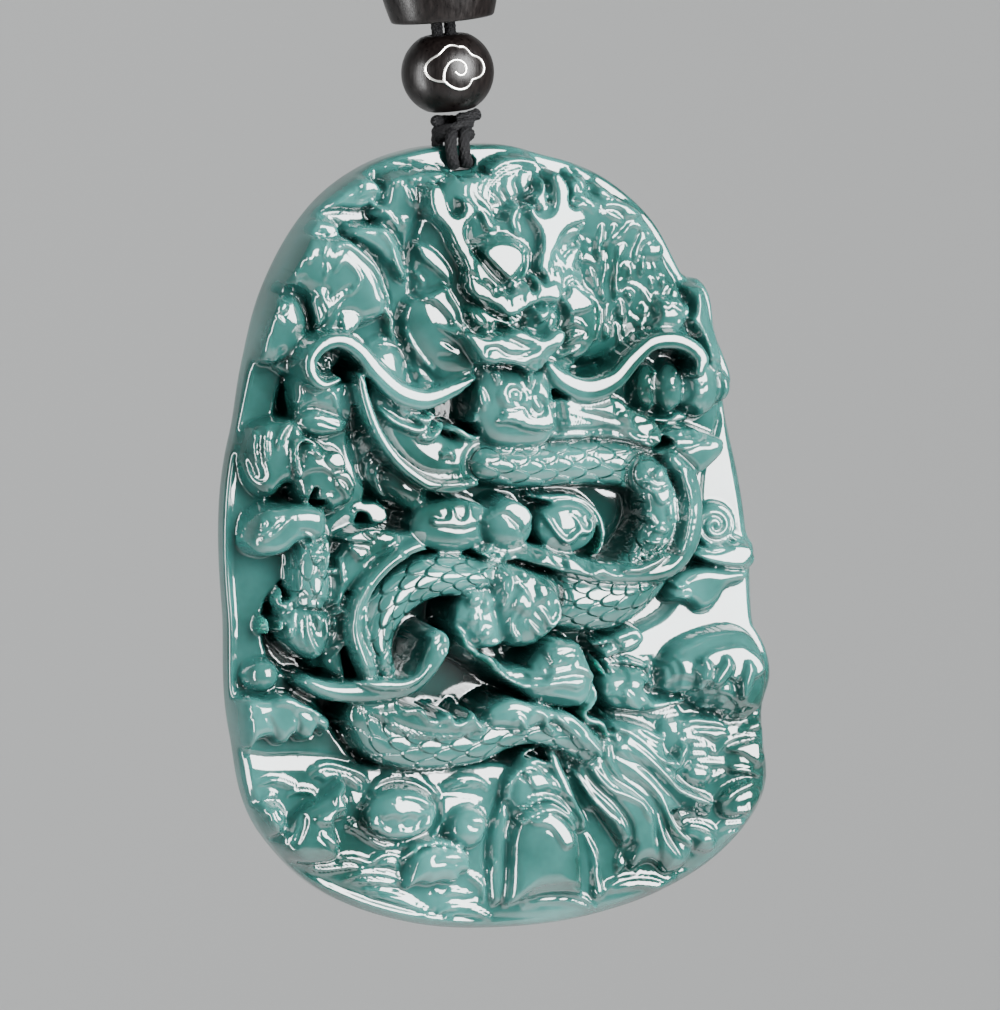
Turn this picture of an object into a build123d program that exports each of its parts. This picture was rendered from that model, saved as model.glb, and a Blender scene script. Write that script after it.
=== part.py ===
from build123d import *
import math
import os

# Jade plaque: its box, and its layers measured from the flat back
plaque_width = 47.4
plaque_height = 65.9
wall_height = 2.6
rim_height = 4.2
ground_height = 3.3
relief_height = 12.4
rim_width = 2.6
front_bevel = 0.7
back_bevel = 0.5
carving_rings = 29

# Cord and the hole it passes through
cord_diameter = 1.05
strand_gap = 0.09
hole_clearance = 0.14
hole_bridge = 0.8
hole_across = -0.077
loop_bend = 0.95
cord_room = 2.4

# Knots, beads and the short loop above them
rest_gap = 0.15
knot_diameter = 3.8
knot_height = 2.6
knot_rounding = 0.9
round_bead_diameter = 7.8
round_bead_height = 6.4
round_bead_end = 3.6
barrel_diameter = 10.4
barrel_end = 8.6
barrel_height = 11.0
bead_gap = 1.3
bore_clearance = 0.12
hang_loop_height = 16.6
hang_loop_width = 8.6
stack_lean = 5.5

# Where the hanging line stands in the hole, and the hole's size
hole_height = cord_diameter + 2 * hole_clearance
hole_width = 2 * cord_diameter + strand_gap + 2 * hole_clearance
hole_drop = hole_bridge + hole_height / 2
strand_offset = (cord_diameter + strand_gap) / 2
bore_diameter = 2 * cord_diameter + strand_gap + 2 * bore_clearance
back_y = rim_height / 2

# Heights along the leaning stack, counted from the middle of the hole
knot_bottom = hole_drop + rest_gap
knot_top = knot_bottom + knot_height
round_bottom = knot_top + rest_gap
round_top = round_bottom + round_bead_height
barrel_bottom = round_top + bead_gap
barrel_top = barrel_bottom + barrel_height
top_knot_bottom = barrel_top + rest_gap
top_knot_top = top_knot_bottom + knot_height
loop_start = top_knot_top + rest_gap
hang_height = loop_start + hang_loop_height - cord_diameter

# The hang point is the origin, so the hole lies below it along the lean
lean = math.radians(stack_lean)
hole_x = hang_height * math.sin(lean)
hole_z = -hang_height * math.cos(lean)
stack_front = Plane(
    origin=(hole_x, 0, hole_z),
    x_dir=(math.cos(lean), 0, math.sin(lean)),
    z_dir=(0, -1, 0),
)
plaque_x = hole_x - hole_across * plaque_width
plaque_z = hole_z + hole_drop - plaque_height / 2

# Outline of the plaque, clockwise from the top: shares of its width and
# height, measured from the middle of its box
outline = [
    ("top", -0.070, 0.500),
    ("top", 0.011, 0.499),
    ("top right", 0.072, 0.487),
    ("top right", 0.132, 0.475),
    ("shoulder", 0.197, 0.452),
    ("shoulder", 0.276, 0.402),
    ("shoulder", 0.335, 0.329),
    ("upper bulge", 0.364, 0.324),
    ("upper bulge", 0.383, 0.306),
    ("upper bulge", 0.393, 0.259),
    ("upper bulge", 0.410, 0.228),
    ("upper bulge", 0.425, 0.193),
    ("right side", 0.411, 0.168),
    ("right side", 0.430, 0.099),
    ("right side", 0.454, -0.002),
    ("small bulge", 0.469, -0.023),
    ("right side", 0.461, -0.052),
    ("right side", 0.467, -0.120),
    ("cloud bulge", 0.488, -0.146),
    ("cloud bulge", 0.500, -0.185),
    ("cloud bulge", 0.484, -0.230),
    ("lower right", 0.488, -0.280),
    ("lower right", 0.494, -0.314),
    ("lower right", 0.476, -0.357),
    ("lower right", 0.404, -0.415),
    ("lower right", 0.309, -0.456),
    ("foot", 0.180, -0.486),
    ("foot", 0.007, -0.500),
    ("foot", -0.176, -0.489),
    ("lower left", -0.333, -0.445),
    ("lower left", -0.434, -0.372),
    ("left side", -0.463, -0.330),
    ("left side", -0.487, -0.243),
    ("left side", -0.500, -0.083),
    ("left side", -0.487, 0.133),
    ("left side", -0.463, 0.228),
    ("left shoulder", -0.426, 0.323),
    ("left shoulder", -0.336, 0.427),
    ("left shoulder", -0.246, 0.474),
    ("top left", -0.150, 0.496),
]

# Rounded forms of the relief. Places are shares of the plaque's width and
# height, half sizes are shares of its width, turn is in degrees, and crest
# is a share of the relief's height above the back
domes = [
    # name, across, up, half_long, half_short, turn, crest
    ("head", -0.020, 0.277, 0.105, 0.090, 90, 0.74),
    ("forehead gem", -0.048, 0.363, 0.044, 0.040, 0, 0.84),
    ("fan over the gem", 0.000, 0.440, 0.062, 0.046, 30, 0.50),
    ("left horn", -0.165, 0.452, 0.080, 0.034, -8, 0.60),
    ("left cheek", -0.146, 0.258, 0.068, 0.066, 0, 0.74),
    ("right cheek", 0.105, 0.308, 0.055, 0.045, 60, 0.68),
    ("left brow", -0.100, 0.300, 0.036, 0.020, -20, 0.80),
    ("right brow", 0.035, 0.305, 0.040, 0.020, 20, 0.82),
    ("snout", -0.031, 0.247, 0.070, 0.038, 0, 1.00),
    ("tongue", 0.013, 0.177, 0.038, 0.036, 0, 0.76),
    ("chin", -0.013, 0.140, 0.070, 0.030, 0, 0.80),
    ("mane block", 0.195, 0.350, 0.120, 0.080, 75, 0.58),
    ("top right form", 0.160, 0.425, 0.075, 0.035, -30, 0.52),
    ("upper right bulge", 0.352, 0.270, 0.075, 0.030, 75, 0.45),
    ("whisker ball", 0.246, 0.200, 0.034, 0.034, 0, 0.60),
    ("whisker ball", 0.290, 0.195, 0.034, 0.034, 0, 0.60),
    ("whisker ball", 0.346, 0.187, 0.044, 0.040, 0, 0.60),
    ("cloud curl", -0.301, 0.445, 0.046, 0.034, 0, 0.50),
    ("upper fist", -0.350, 0.347, 0.072, 0.050, 0, 0.56),
    ("leaf strands", -0.240, 0.365, 0.060, 0.034, -30, 0.54),
    ("grooved lobe", -0.437, 0.259, 0.065, 0.034, 90, 0.47),
    ("fan paw", -0.430, 0.107, 0.070, 0.056, 90, 0.48),
    ("fist", -0.349, 0.083, 0.064, 0.060, 90, 0.64),
    ("limb", -0.411, 0.014, 0.070, 0.050, 0, 0.55),
    ("scaly leg", -0.363, -0.033, 0.062, 0.030, 90, 0.60),
    ("claw strokes", -0.385, -0.111, 0.060, 0.056, 0, 0.51),
    ("pearl", -0.452, -0.171, 0.026, 0.026, 0, 0.50),
    ("long claw", -0.278, -0.188, 0.115, 0.026, 0, 0.62),
    ("left cloud", -0.405, -0.238, 0.080, 0.060, 0, 0.46),
    ("centre ball", -0.002, 0.018, 0.042, 0.042, 0, 0.62),
    ("left finger cloud", -0.099, 0.020, 0.042, 0.034, 0, 0.52),
    ("right finger cloud", 0.106, 0.012, 0.050, 0.045, 0, 0.56),
    ("haunch", 0.028, -0.079, 0.066, 0.058, 90, 0.75),
    ("paw", 0.075, -0.177, 0.062, 0.058, 0, 0.73),
    ("fin", 0.329, 0.105, 0.072, 0.035, 15, 0.52),
    ("right spiral", 0.384, 0.020, 0.042, 0.042, 0, 0.49),
    ("right cloud tail", 0.380, -0.041, 0.063, 0.046, 0, 0.46),
    ("finger cloud", 0.378, -0.175, 0.096, 0.078, 0, 0.50),
    ("hook", 0.205, -0.145, 0.042, 0.038, 0, 0.56),
    ("smooth form", 0.243, -0.207, 0.078, 0.045, -10, 0.56),
    ("tail tip", 0.410, -0.322, 0.058, 0.026, 0, 0.44),
    ("right waves", 0.415, -0.268, 0.050, 0.020, 0, 0.42),
    ("cloud crest", -0.345, -0.360, 0.074, 0.055, 80, 0.50),
    ("small ball", -0.430, -0.352, 0.024, 0.024, 0, 0.42),
    ("scalloped oval", -0.197, -0.349, 0.067, 0.042, 0, 0.50),
    ("ball", -0.078, -0.366, 0.036, 0.036, 0, 0.55),
    ("curl lobe", -0.125, -0.428, 0.060, 0.044, 0, 0.46),
    ("mountain", 0.060, -0.360, 0.100, 0.062, 90, 0.58),
    ("striated rock", 0.162, -0.414, 0.055, 0.026, 90, 0.47),
]

# Long forms of the relief: each follows its places as a rounded bar
coils = [
    # name, half_width, crest, places as (across, up)
    ("first coil", 0.028, 0.66, [(-0.300, 0.215), (-0.279, 0.182), (-0.256, 0.137), (-0.224, 0.106),
                                 (-0.164, 0.078), (-0.118, 0.071), (-0.068, 0.080), (-0.028, 0.108)]),
    ("neck", 0.036, 0.72, [(-0.036, 0.118), (0.038, 0.093), (0.120, 0.083), (0.183, 0.069), (0.249, 0.086)]),
    ("right body", 0.042, 0.72, [(0.275, 0.095), (0.317, 0.045), (0.317, 0.008), (0.264, -0.041),
                                 (0.192, -0.062), (0.082, -0.060), (0.001, -0.047), (-0.073, -0.028),
                                 (-0.165, -0.034), (-0.229, -0.066), (-0.271, -0.117), (-0.256, -0.164)]),
    ("leg", 0.031, 0.70, [(-0.113, -0.109), (-0.073, -0.136), (-0.032, -0.160), (0.052, -0.183)]),
    ("lower coil", 0.038, 0.64, [(-0.241, -0.229), (-0.151, -0.256), (-0.081, -0.254), (-0.006, -0.239),
                                 (0.046, -0.229), (0.108, -0.252)]),
    ("tail strand", 0.021, 0.52, [(0.121, -0.273), (0.208, -0.372)]),
    ("tail strand", 0.021, 0.52, [(0.167, -0.280), (0.263, -0.363)]),
    ("tail strand", 0.021, 0.50, [(0.202, -0.267), (0.309, -0.372), (0.349, -0.391)]),
    ("tail strand", 0.021, 0.50, [(0.213, -0.248), (0.364, -0.337), (0.460, -0.318)]),
    ("left whisker", 0.015, 0.74, [(-0.085, 0.213), (-0.173, 0.184), (-0.248, 0.208), (-0.294, 0.245),
                                   (-0.327, 0.259), (-0.370, 0.246), (-0.386, 0.217), (-0.359, 0.195),
                                   (-0.327, 0.208)]),
    ("right whisker", 0.016, 0.74, [(0.072, 0.223), (0.118, 0.195), (0.171, 0.208), (0.211, 0.238),
                                    (0.248, 0.260), (0.283, 0.262), (0.318, 0.254), (0.333, 0.236),
                                    (0.327, 0.218)]),
    ("left antler", 0.017, 0.74, [(-0.075, 0.309), (-0.097, 0.365), (-0.131, 0.405), (-0.150, 0.430)]),
    ("right antler", 0.021, 0.76, [(0.064, 0.315), (0.029, 0.351), (0.046, 0.395), (0.083, 0.440)]),
    ("forearm", 0.026, 0.58, [(-0.393, 0.243), (-0.283, 0.319)]),
    ("curved band", 0.017, 0.56, [(-0.329, 0.374), (-0.235, 0.344), (-0.217, 0.303)]),
    ("mane strand", 0.015, 0.64, [(0.120, 0.430), (0.140, 0.350), (0.154, 0.269)]),
    ("mane strand", 0.015, 0.64, [(0.185, 0.405), (0.180, 0.340), (0.190, 0.280)]),
    ("mane strand", 0.015, 0.60, [(0.238, 0.370), (0.250, 0.320), (0.285, 0.285)]),
    ("wave", 0.013, 0.44, [(-0.352, -0.305), (-0.305, -0.290), (-0.258, -0.305)]),
    ("wave", 0.013, 0.44, [(-0.240, -0.318), (-0.180, -0.302), (-0.122, -0.318)]),
]

# Edge of a form as a share of its rise above the ground, and how round it is
form_foot = 0.2
form_roundness = 0.7


def outline_polar():
    """The outline's places as angle and distance from the middle, in order of angle."""
    polar = []
    for _, across, up in outline:
        x = across * plaque_width
        z = up * plaque_height
        polar.append((math.atan2(z, x) % math.tau, math.hypot(x, z)))
    return sorted(polar)


polar = outline_polar()


def outline_radius(angle):
    """Distance from the middle of the plaque to its outline at one angle."""
    angle %= math.tau
    after = next((i for i, p in enumerate(polar) if p[0] > angle), 0)
    start, end = polar[after - 1], polar[after]
    before, beyond = polar[after - 2], polar[(after + 1) % len(polar)]
    span = (end[0] - start[0]) % math.tau
    t = ((angle - start[0]) % math.tau) / span
    start_slope = (end[1] - before[1]) / ((end[0] - before[0]) % math.tau) * span
    end_slope = (beyond[1] - start[1]) / ((beyond[0] - start[0]) % math.tau) * span
    return (
        start[1] * (1 - 3 * t**2 + 2 * t**3)
        + start_slope * (t - 2 * t**2 + t**3)
        + end[1] * (3 * t**2 - 2 * t**3)
        + end_slope * (t**3 - t**2)
    )


def rounded(share):
    """Height of a round section, from 1 at its middle to 0 at its edge."""
    return max(0.0, 1 - share * share) ** form_roundness


def form_height(crest, share):
    """Height above the back of a form with this crest, at a share of its half width."""
    top = crest * relief_height
    foot = ground_height + form_foot * (top - ground_height)
    return foot + (top - foot) * rounded(share)


def dome_share(x, z, across, up, half_long, half_short, turn):
    """0 in the middle of a dome, 1 at its edge."""
    dx = x - across * plaque_width
    dz = z - up * plaque_height
    c, s = math.cos(math.radians(turn)), math.sin(math.radians(turn))
    long_share = (dx * c + dz * s) / (half_long * plaque_width)
    short_share = (dz * c - dx * s) / (half_short * plaque_width)
    return math.hypot(long_share, short_share)


def coil_share(x, z, half_width, places):
    """0 on the middle line of a coil, 1 at its edge."""
    nearest = math.inf
    for (a0, u0), (a1, u1) in zip(places, places[1:]):
        x0, z0 = a0 * plaque_width, u0 * plaque_height
        dx, dz = a1 * plaque_width - x0, u1 * plaque_height - z0
        t = ((x - x0) * dx + (z - z0) * dz) / (dx * dx + dz * dz)
        t = min(1.0, max(0.0, t))
        nearest = min(nearest, math.hypot(x - x0 - t * dx, z - z0 - t * dz))
    return nearest / (half_width * plaque_width)


def surface_height(x, z, inset):
    """Height of the carved front above the back, at a place this far inside the outline."""
    rim_share = min(1.0, max(0.0, (inset - rim_width) / front_bevel))
    height = rim_height + (ground_height - rim_height) * rim_share
    relief = height
    for _, across, up, half_long, half_short, turn, crest in domes:
        share = dome_share(x, z, across, up, half_long, half_short, turn)
        if share < 1:
            relief = max(relief, form_height(crest, share))
    for _, half_width, crest, places in coils:
        share = coil_share(x, z, half_width, places)
        if share < 1:
            relief = max(relief, form_height(crest, share))
    hole_distance = math.hypot(x - hole_across * plaque_width, z - plaque_height / 2 + hole_drop)
    room = min(1.0, max(0.0, (hole_distance - cord_room) / cord_room))
    edge = min(1.0, inset / rim_width)
    limit = rim_height + (relief_height - rim_height) * min(room, edge)
    return min(relief, max(limit, rim_height if room < 1 else limit))


def ring_place(a, b):
    """Ring number and angle of a grid place: square rings laid over round ones."""
    ring = max(abs(a), abs(b))
    if ring == 0:
        return 0, 0.0
    if abs(a) >= abs(b):
        angle = math.pi / 4 * b / a + (math.pi if a < 0 else 0)
    else:
        angle = math.pi / 2 - math.pi / 4 * a / b + (math.pi if b < 0 else 0)
    return ring, angle


def plaque_point(radius, angle, height):
    """A point of the plaque, from its polar place and its height above the back."""
    return Vector(
        plaque_x + radius * math.cos(angle),
        back_y - height,
        plaque_z + radius * math.sin(angle),
    )


def front_point(a, b):
    """A point of the carved front; the last ring is the upper edge of the side wall."""
    ring, angle = ring_place(a, b)
    outer = outline_radius(angle)
    if ring == carving_rings:
        return plaque_point(outer, angle, wall_height)
    radius = ring / (carving_rings - 1) * (outer - front_bevel)
    x, z = radius * math.cos(angle), radius * math.sin(angle)
    return plaque_point(radius, angle, surface_height(x, z, outer - radius))


def carved_faces():
    """All faces of the plaque: carved front, side wall, back bevel and flat back."""
    last = carving_rings
    front = {(a, b): front_point(a, b) for a in range(-last, last + 1) for b in range(-last, last + 1)}
    faces = []
    for a in range(-last, last):
        for b in range(-last, last):
            p00, p10 = front[a, b], front[a + 1, b]
            p01, p11 = front[a, b + 1], front[a + 1, b + 1]
            if a * b + a + b >= 0 or (a + b + 1) ** 2 > (a - b) ** 2:
                faces += [(p00, p10, p11), (p00, p11, p01)]
            else:
                faces += [(p00, p10, p01), (p10, p11, p01)]
    walk = [(last, b) for b in range(-last, last)]
    walk += [(a, last) for a in range(last, -last, -1)]
    walk += [(-last, b) for b in range(last, -last, -1)]
    walk += [(a, -last) for a in range(-last, last)]
    wall_top, wall_foot, back_edge = [], [], []
    for a, b in walk:
        _, angle = ring_place(a, b)
        outer = outline_radius(angle)
        wall_top.append(front[a, b])
        wall_foot.append(plaque_point(outer, angle, back_bevel))
        back_edge.append(plaque_point(outer - back_bevel, angle, 0))
    for i in range(len(walk)):
        j = (i + 1) % len(walk)
        faces.append((wall_top[i], wall_foot[i], wall_foot[j], wall_top[j]))
        faces.append((wall_foot[i], back_edge[i], wall_foot[j]))
        faces.append((back_edge[i], back_edge[j], wall_foot[j]))
    faces.append(tuple(back_edge))
    return faces


# Jade plaque: carved body with the slot for the cord
carved_shell = Shell([Face(Wire.make_polygon(corners)) for corners in carved_faces()])
with BuildPart() as jade_pendant:
    add(Solid(carved_shell))
    with BuildSketch(stack_front):
        SlotOverall(hole_width, hole_height)
    extrude(amount=plaque_width, both=True, mode=Mode.SUBTRACT)
jade_pendant.part.label = "jade_pendant"


def corner_radii(points, largest=math.inf):
    """Bend radii of a cord's route: 0.45 of the shorter run over the tangent of half the turn."""
    radii = []
    for before, here, after in zip(points, points[1:], points[2:]):
        run_in, run_out = Vector(here) - Vector(before), Vector(after) - Vector(here)
        half_turn = math.radians(run_in.get_angle(run_out)) / 2
        shorter = min(run_in.length, run_out.length)
        radii.append(min(largest, 0.45 * shorter / math.tan(half_turn)))
    return radii


def stack_point(across, front, height):
    """A point beside the leaning hanging line, counted from the middle of the hole."""
    return stack_front.from_local_coords(Vector(across, height, front))


# Lower knot with the two strands that pass through the plaque
strand_front = rim_height / 2 + loop_bend
strand_crown = hole_drop + rest_gap + cord_diameter / 2
knot_middle = knot_bottom + knot_height / 2
strand_route = [
    (0.0, knot_middle),
    (strand_front, strand_crown),
    (strand_front, 0.0),
    (-strand_front, 0.0),
    (-strand_front, strand_crown),
    (0.0, knot_middle + cord_diameter / 4),
]
with BuildPart() as plaque_knot:
    for side in (-1, 1):
        strand_points = [stack_point(side * strand_offset, y, t) for y, t in strand_route]
        with BuildLine() as strand_path:
            FilletPolyline(*strand_points, radius=corner_radii(strand_points, loop_bend))
        with BuildSketch(Plane(origin=strand_path.line @ 0, z_dir=strand_path.line % 0)):
            Circle(cord_diameter / 2)
        sweep(path=strand_path.line)
    with BuildSketch(stack_front) as knot_section:
        with Locations((knot_diameter / 4, knot_middle)):
            Rectangle(knot_diameter / 2, knot_height)
        fillet(knot_section.vertices().group_by(Axis.X)[-1], knot_rounding)
    revolve(axis=Axis(stack_front.origin, stack_front.y_dir))
plaque_knot.part.label = "plaque_knot"


def bead_section(bottom, top, middle_radius, end_radius):
    """Half section of a drilled bead, round between its two flat ends."""
    bore_radius = bore_diameter / 2
    with BuildSketch(stack_front) as section:
        with BuildLine():
            Polyline((end_radius, bottom), (bore_radius, bottom), (bore_radius, top), (end_radius, top))
            ThreePointArc((end_radius, top), (middle_radius, (bottom + top) / 2), (end_radius, bottom))
        make_face()
    return section.sketch


# Round ebony bead
with BuildPart() as round_bead:
    add(bead_section(round_bottom, round_top, round_bead_diameter / 2, round_bead_end / 2))
    revolve(axis=Axis(stack_front.origin, stack_front.y_dir))
round_bead.part.label = "round_bead"

# Ebony barrel bead
with BuildPart() as barrel_bead:
    add(bead_section(barrel_bottom, barrel_top, barrel_diameter / 2, barrel_end / 2))
    revolve(axis=Axis(stack_front.origin, stack_front.y_dir))
barrel_bead.part.label = "barrel_bead"

# The two strands through both beads, from knot to knot
threads = []
for side, side_name in ((-1, "left"), (1, "right")):
    with BuildPart() as thread:
        foot = stack_point(side * strand_offset, 0, knot_top + rest_gap / 2)
        with BuildSketch(Plane(origin=foot, z_dir=stack_front.y_dir)):
            Circle(cord_diameter / 2)
        extrude(amount=top_knot_bottom - knot_top - rest_gap)
    thread.part.label = "thread_" + side_name
    threads.append(thread)

# Knot that holds the barrel bead
with BuildPart() as top_knot:
    with BuildSketch(stack_front) as top_section:
        with Locations((knot_diameter / 4, top_knot_bottom + knot_height / 2)):
            Rectangle(knot_diameter / 2, knot_height)
        fillet(top_section.vertices().group_by(Axis.X)[-1], knot_rounding)
    revolve(axis=Axis(stack_front.origin, stack_front.y_dir))
top_knot.part.label = "top_knot"

# Short loop to hang the pendant by: places are shares of its width and height
loop_places = [
    (-0.085, 0.00),
    (-0.230, 0.27),
    (-0.440, 0.56),
    (-0.430, 0.80),
    (-0.230, 0.97),
    (0.230, 0.97),
    (0.430, 0.80),
    (0.440, 0.56),
    (0.230, 0.27),
    (0.085, 0.00),
]
loop_rise = hang_loop_height - cord_diameter / 2
loop_points = [
    stack_point(across * hang_loop_width, 0, loop_start + up * loop_rise / 0.97)
    for across, up in loop_places
]
loop_radii = corner_radii(loop_points)
with BuildPart() as hang_loop:
    with BuildLine() as loop_path:
        FilletPolyline(*loop_points, radius=loop_radii)
    with BuildSketch(Plane(origin=loop_path.line @ 0, z_dir=loop_path.line % 0)):
        Circle(cord_diameter / 2)
    sweep(path=loop_path.line)
hang_loop.part.label = "hang_loop"

loop_length = loop_path.wires()[0].length
loop_section = math.pi * cord_diameter**2 / 4
print("bend radii of the plaque's strand", [round(r, 2) for r in corner_radii(strand_points, loop_bend)])
print("bend radii of the hang loop", [round(r, 2) for r in loop_radii])
print("hang loop length", round(loop_length, 2), "volume", round(hang_loop.part.volume, 3),
      "section times length", round(loop_section * loop_length, 3))
print("loop route", [tuple(round(v, 2) for v in p) for p in loop_points])

os.makedirs("parts", exist_ok=True)
for piece in (jade_pendant, plaque_knot, round_bead, barrel_bead, *threads, top_knot, hang_loop):
    export_step(piece.part, f"parts/{piece.part.label}.step")
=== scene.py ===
"""Jade dragon pendant: a carved jade plaque on a black knotted cord, with two ebony beads above it."""

import math

import bmesh
import bpy
import numpy as np
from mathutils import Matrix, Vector


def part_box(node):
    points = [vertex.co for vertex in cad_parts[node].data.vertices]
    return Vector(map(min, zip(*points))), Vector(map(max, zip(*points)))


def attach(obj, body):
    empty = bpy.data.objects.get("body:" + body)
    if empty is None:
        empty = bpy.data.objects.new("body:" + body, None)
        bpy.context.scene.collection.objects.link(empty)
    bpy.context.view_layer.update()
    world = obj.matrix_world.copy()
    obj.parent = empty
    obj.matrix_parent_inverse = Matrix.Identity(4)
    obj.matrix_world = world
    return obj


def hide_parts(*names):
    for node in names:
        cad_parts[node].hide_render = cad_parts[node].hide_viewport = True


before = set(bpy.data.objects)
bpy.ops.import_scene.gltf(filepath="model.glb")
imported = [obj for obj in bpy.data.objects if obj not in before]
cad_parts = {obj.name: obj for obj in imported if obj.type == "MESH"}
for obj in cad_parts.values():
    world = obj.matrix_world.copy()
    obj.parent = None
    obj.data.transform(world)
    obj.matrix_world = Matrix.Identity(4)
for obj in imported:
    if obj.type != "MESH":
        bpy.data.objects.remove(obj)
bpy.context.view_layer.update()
MM = 0.001

# The plaque's place and layers, from its solid
plaque_low, plaque_high = (np.array(corner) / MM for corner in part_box("jade_pendant"))
plaque_mid = (plaque_low + plaque_high) / 2
back_y = plaque_high[1]
# Heights above the flat back: the ground, the thinnest stone in a hollow, the top of the side wall on
# the solid, and the side wall's top here
slab, thinnest, side_wall, wall_top = 4.1, 1.4, 2.6, 3.3
# The front's edge: its bevel, and the rounding of forms that reach it, both narrower at the plaque's top:
# the change begins where the sine of the turn round the plaque is top_from, and ends top_blend later
bevel_width, bevel_top = 0.6, 0.25
edge_round, edge_top = 1.0, 0.45
top_from, top_blend = 0.25, 0.35
# The side wall from the front down and round its foot: inset from the outline, and height above the back
wall_rings = [(0.0, 2.0), (0.0, 1.4), (0.0, 0.8), (0.04, 0.45), (0.15, 0.2), (0.33, 0.06), (0.6, 0.0)]
# Scales: how far they stand up, the bump that sharpens their free edges, and each one's shape: its height
# at the covered end, the roundness of its outline and the width of its free edge, as shares of the whole
scale_raise, scale_bump = 0.16, 0.3
scale_foot, scale_power, scale_edge = 0.25, 2.2, 0.28
# Polishing: how widely it rounds an edge. Stone deeper than its surroundings gets painted shade, full at the
# full-shade depth
polish_width, shade_surround_width, full_shade_depth, shade_edge_fade = 0.09, 1.5, 2.4, 3.0

# The carving's drawing: drawn 1.2 times full size on a sheet 100 mm wide and
# 101 mm tall, as the photo's view shows it. u runs right, v runs down
DRAWN_SCALE = 1.2
SHEET = (100.0, 101.0)
drawn_middle = (48.84, 53.36)
view_turn = math.radians(17.0)
view_lift = math.radians(5.0)
camera_distance, sensor_width = 1100.0, 36.0

# The hanging line: it leans to the right going down, through the middle of the cord's hole
stack_lean = math.radians(5.5)
hole_place = (3.979, -41.324)
hole_wide, hole_tall = 2.47, 1.33
# Cord: half its thickness, how far each of two strands lies from their middle, the step along its line,
# and its braid; its knots' outer radius, height, turns and lower ends on the hanging line
cord_radius, strand_offset, cord_step, cord_sides = 0.525, 0.57, 0.09, 36
braid_count, braid_pitch, braid_relief = 8, 0.62, 0.2
knot_radius, knot_height, knot_turns = 1.9, 2.6, 1.72
lower_knot, upper_knot = 1.615, 23.215
# The flat room for the cord on the rim: to each side of the hole, below it, and the width of its fade
cord_room = (1.75, 1.15, 0.4)
# Silver wire: its radius, the step along its line and the sides of its round section
wire_radius, wire_step, wire_sides = 0.11, 0.1, 12
# Beads: lower and upper end on the hanging line, widest and end radius, and the bore
round_bead_span, round_bead_radii = (4.365, 10.765), (3.9, 1.8)
barrel_span, barrel_radii = (12.065, 23.065), (5.2, 4.3)
bore_radius, bead_segments = 1.215, 96
# Pattern sizes: clouds in the jade, filaments of the cord, grain of the ebony, scratches on the silver
cloud_width, filament_pitch, grain_width, rub_width = 14.3, 0.11, 0.3, 0.2
# Studio: the floor's height, the bend of its sweep and how far it runs to each side, front, back and up
floor_z, sweep_radius = -600.0, 700
sweep_side, sweep_front, sweep_bend, sweep_rise = 2500, -2500.0, 1300, 3000

# Sampling of the carved front: the relief's square cells, its margin and the rings of the finished mesh
cell, sheet_margin, grid_rings = 0.1, 0.5, 150
# Ground beside a form is cut down towards its foot, at most line_cut deeper by each form
line_cut, moat_slope, moat_reach = 0.45, 2.6, 1.6
# A bar's fall as a share of its half width, and the share of a form's fall at which its outline is seen
bar_fullness, seen_share = 0.9, 0.4


def to_plaque(u, v, height):
    """Place on the plaque, from its middle, of a drawn point at this height above the back."""
    right = (u - drawn_middle[0]) / DRAWN_SCALE
    up = (drawn_middle[1] - v) / DRAWN_SCALE
    x = (right - height * math.sin(view_turn)) / math.cos(view_turn)
    ahead, aside = height * math.cos(view_turn), x * math.sin(view_turn)
    z = up + ahead * math.sin(view_lift) - aside * math.sin(view_lift)
    return x, z / math.cos(view_lift)


def smooth_line(places, closed=False, step=0.25):
    """A smooth line through the places: each column is carried along it."""
    p = np.array(places, float)
    n = len(p)
    spans = n if closed else n - 1
    out = []
    for i in range(spans):
        p1, p2 = p[i], p[(i + 1) % n]
        p0 = p[(i - 1) % n] if closed or i > 0 else p1
        p3 = p[(i + 2) % n] if closed or i + 2 < n else p2
        length = np.hypot(*(p2 - p1)[:2])
        if length < 1e-6:
            continue
        lead = np.hypot(*(p1 - p0)[:2])
        trail = np.hypot(*(p3 - p2)[:2])
        m1 = (p2 - p0) * length / (lead + length) if lead > 1e-6 else p2 - p1
        m2 = (p3 - p1) * length / (trail + length) if trail > 1e-6 else p2 - p1
        count = max(2, int(length / step) + 1)
        t = np.linspace(0, 1, count, endpoint=False)[:, None]
        out.append(
            p1 * (1 - 3 * t**2 + 2 * t**3)
            + m1 * (t - 2 * t**2 + t**3)
            + p2 * (3 * t**2 - 2 * t**3)
            + m2 * (t**3 - t**2)
        )
    if not closed:
        out.append(p[-1:])
    return np.concatenate(out)


def falling(share, full=2.0):
    """How far a rounded edge has fallen, 0 at its crest to 1 at its foot; a fuller one falls later."""
    return 1 - (1 - share**full) ** (1 / full)


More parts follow.
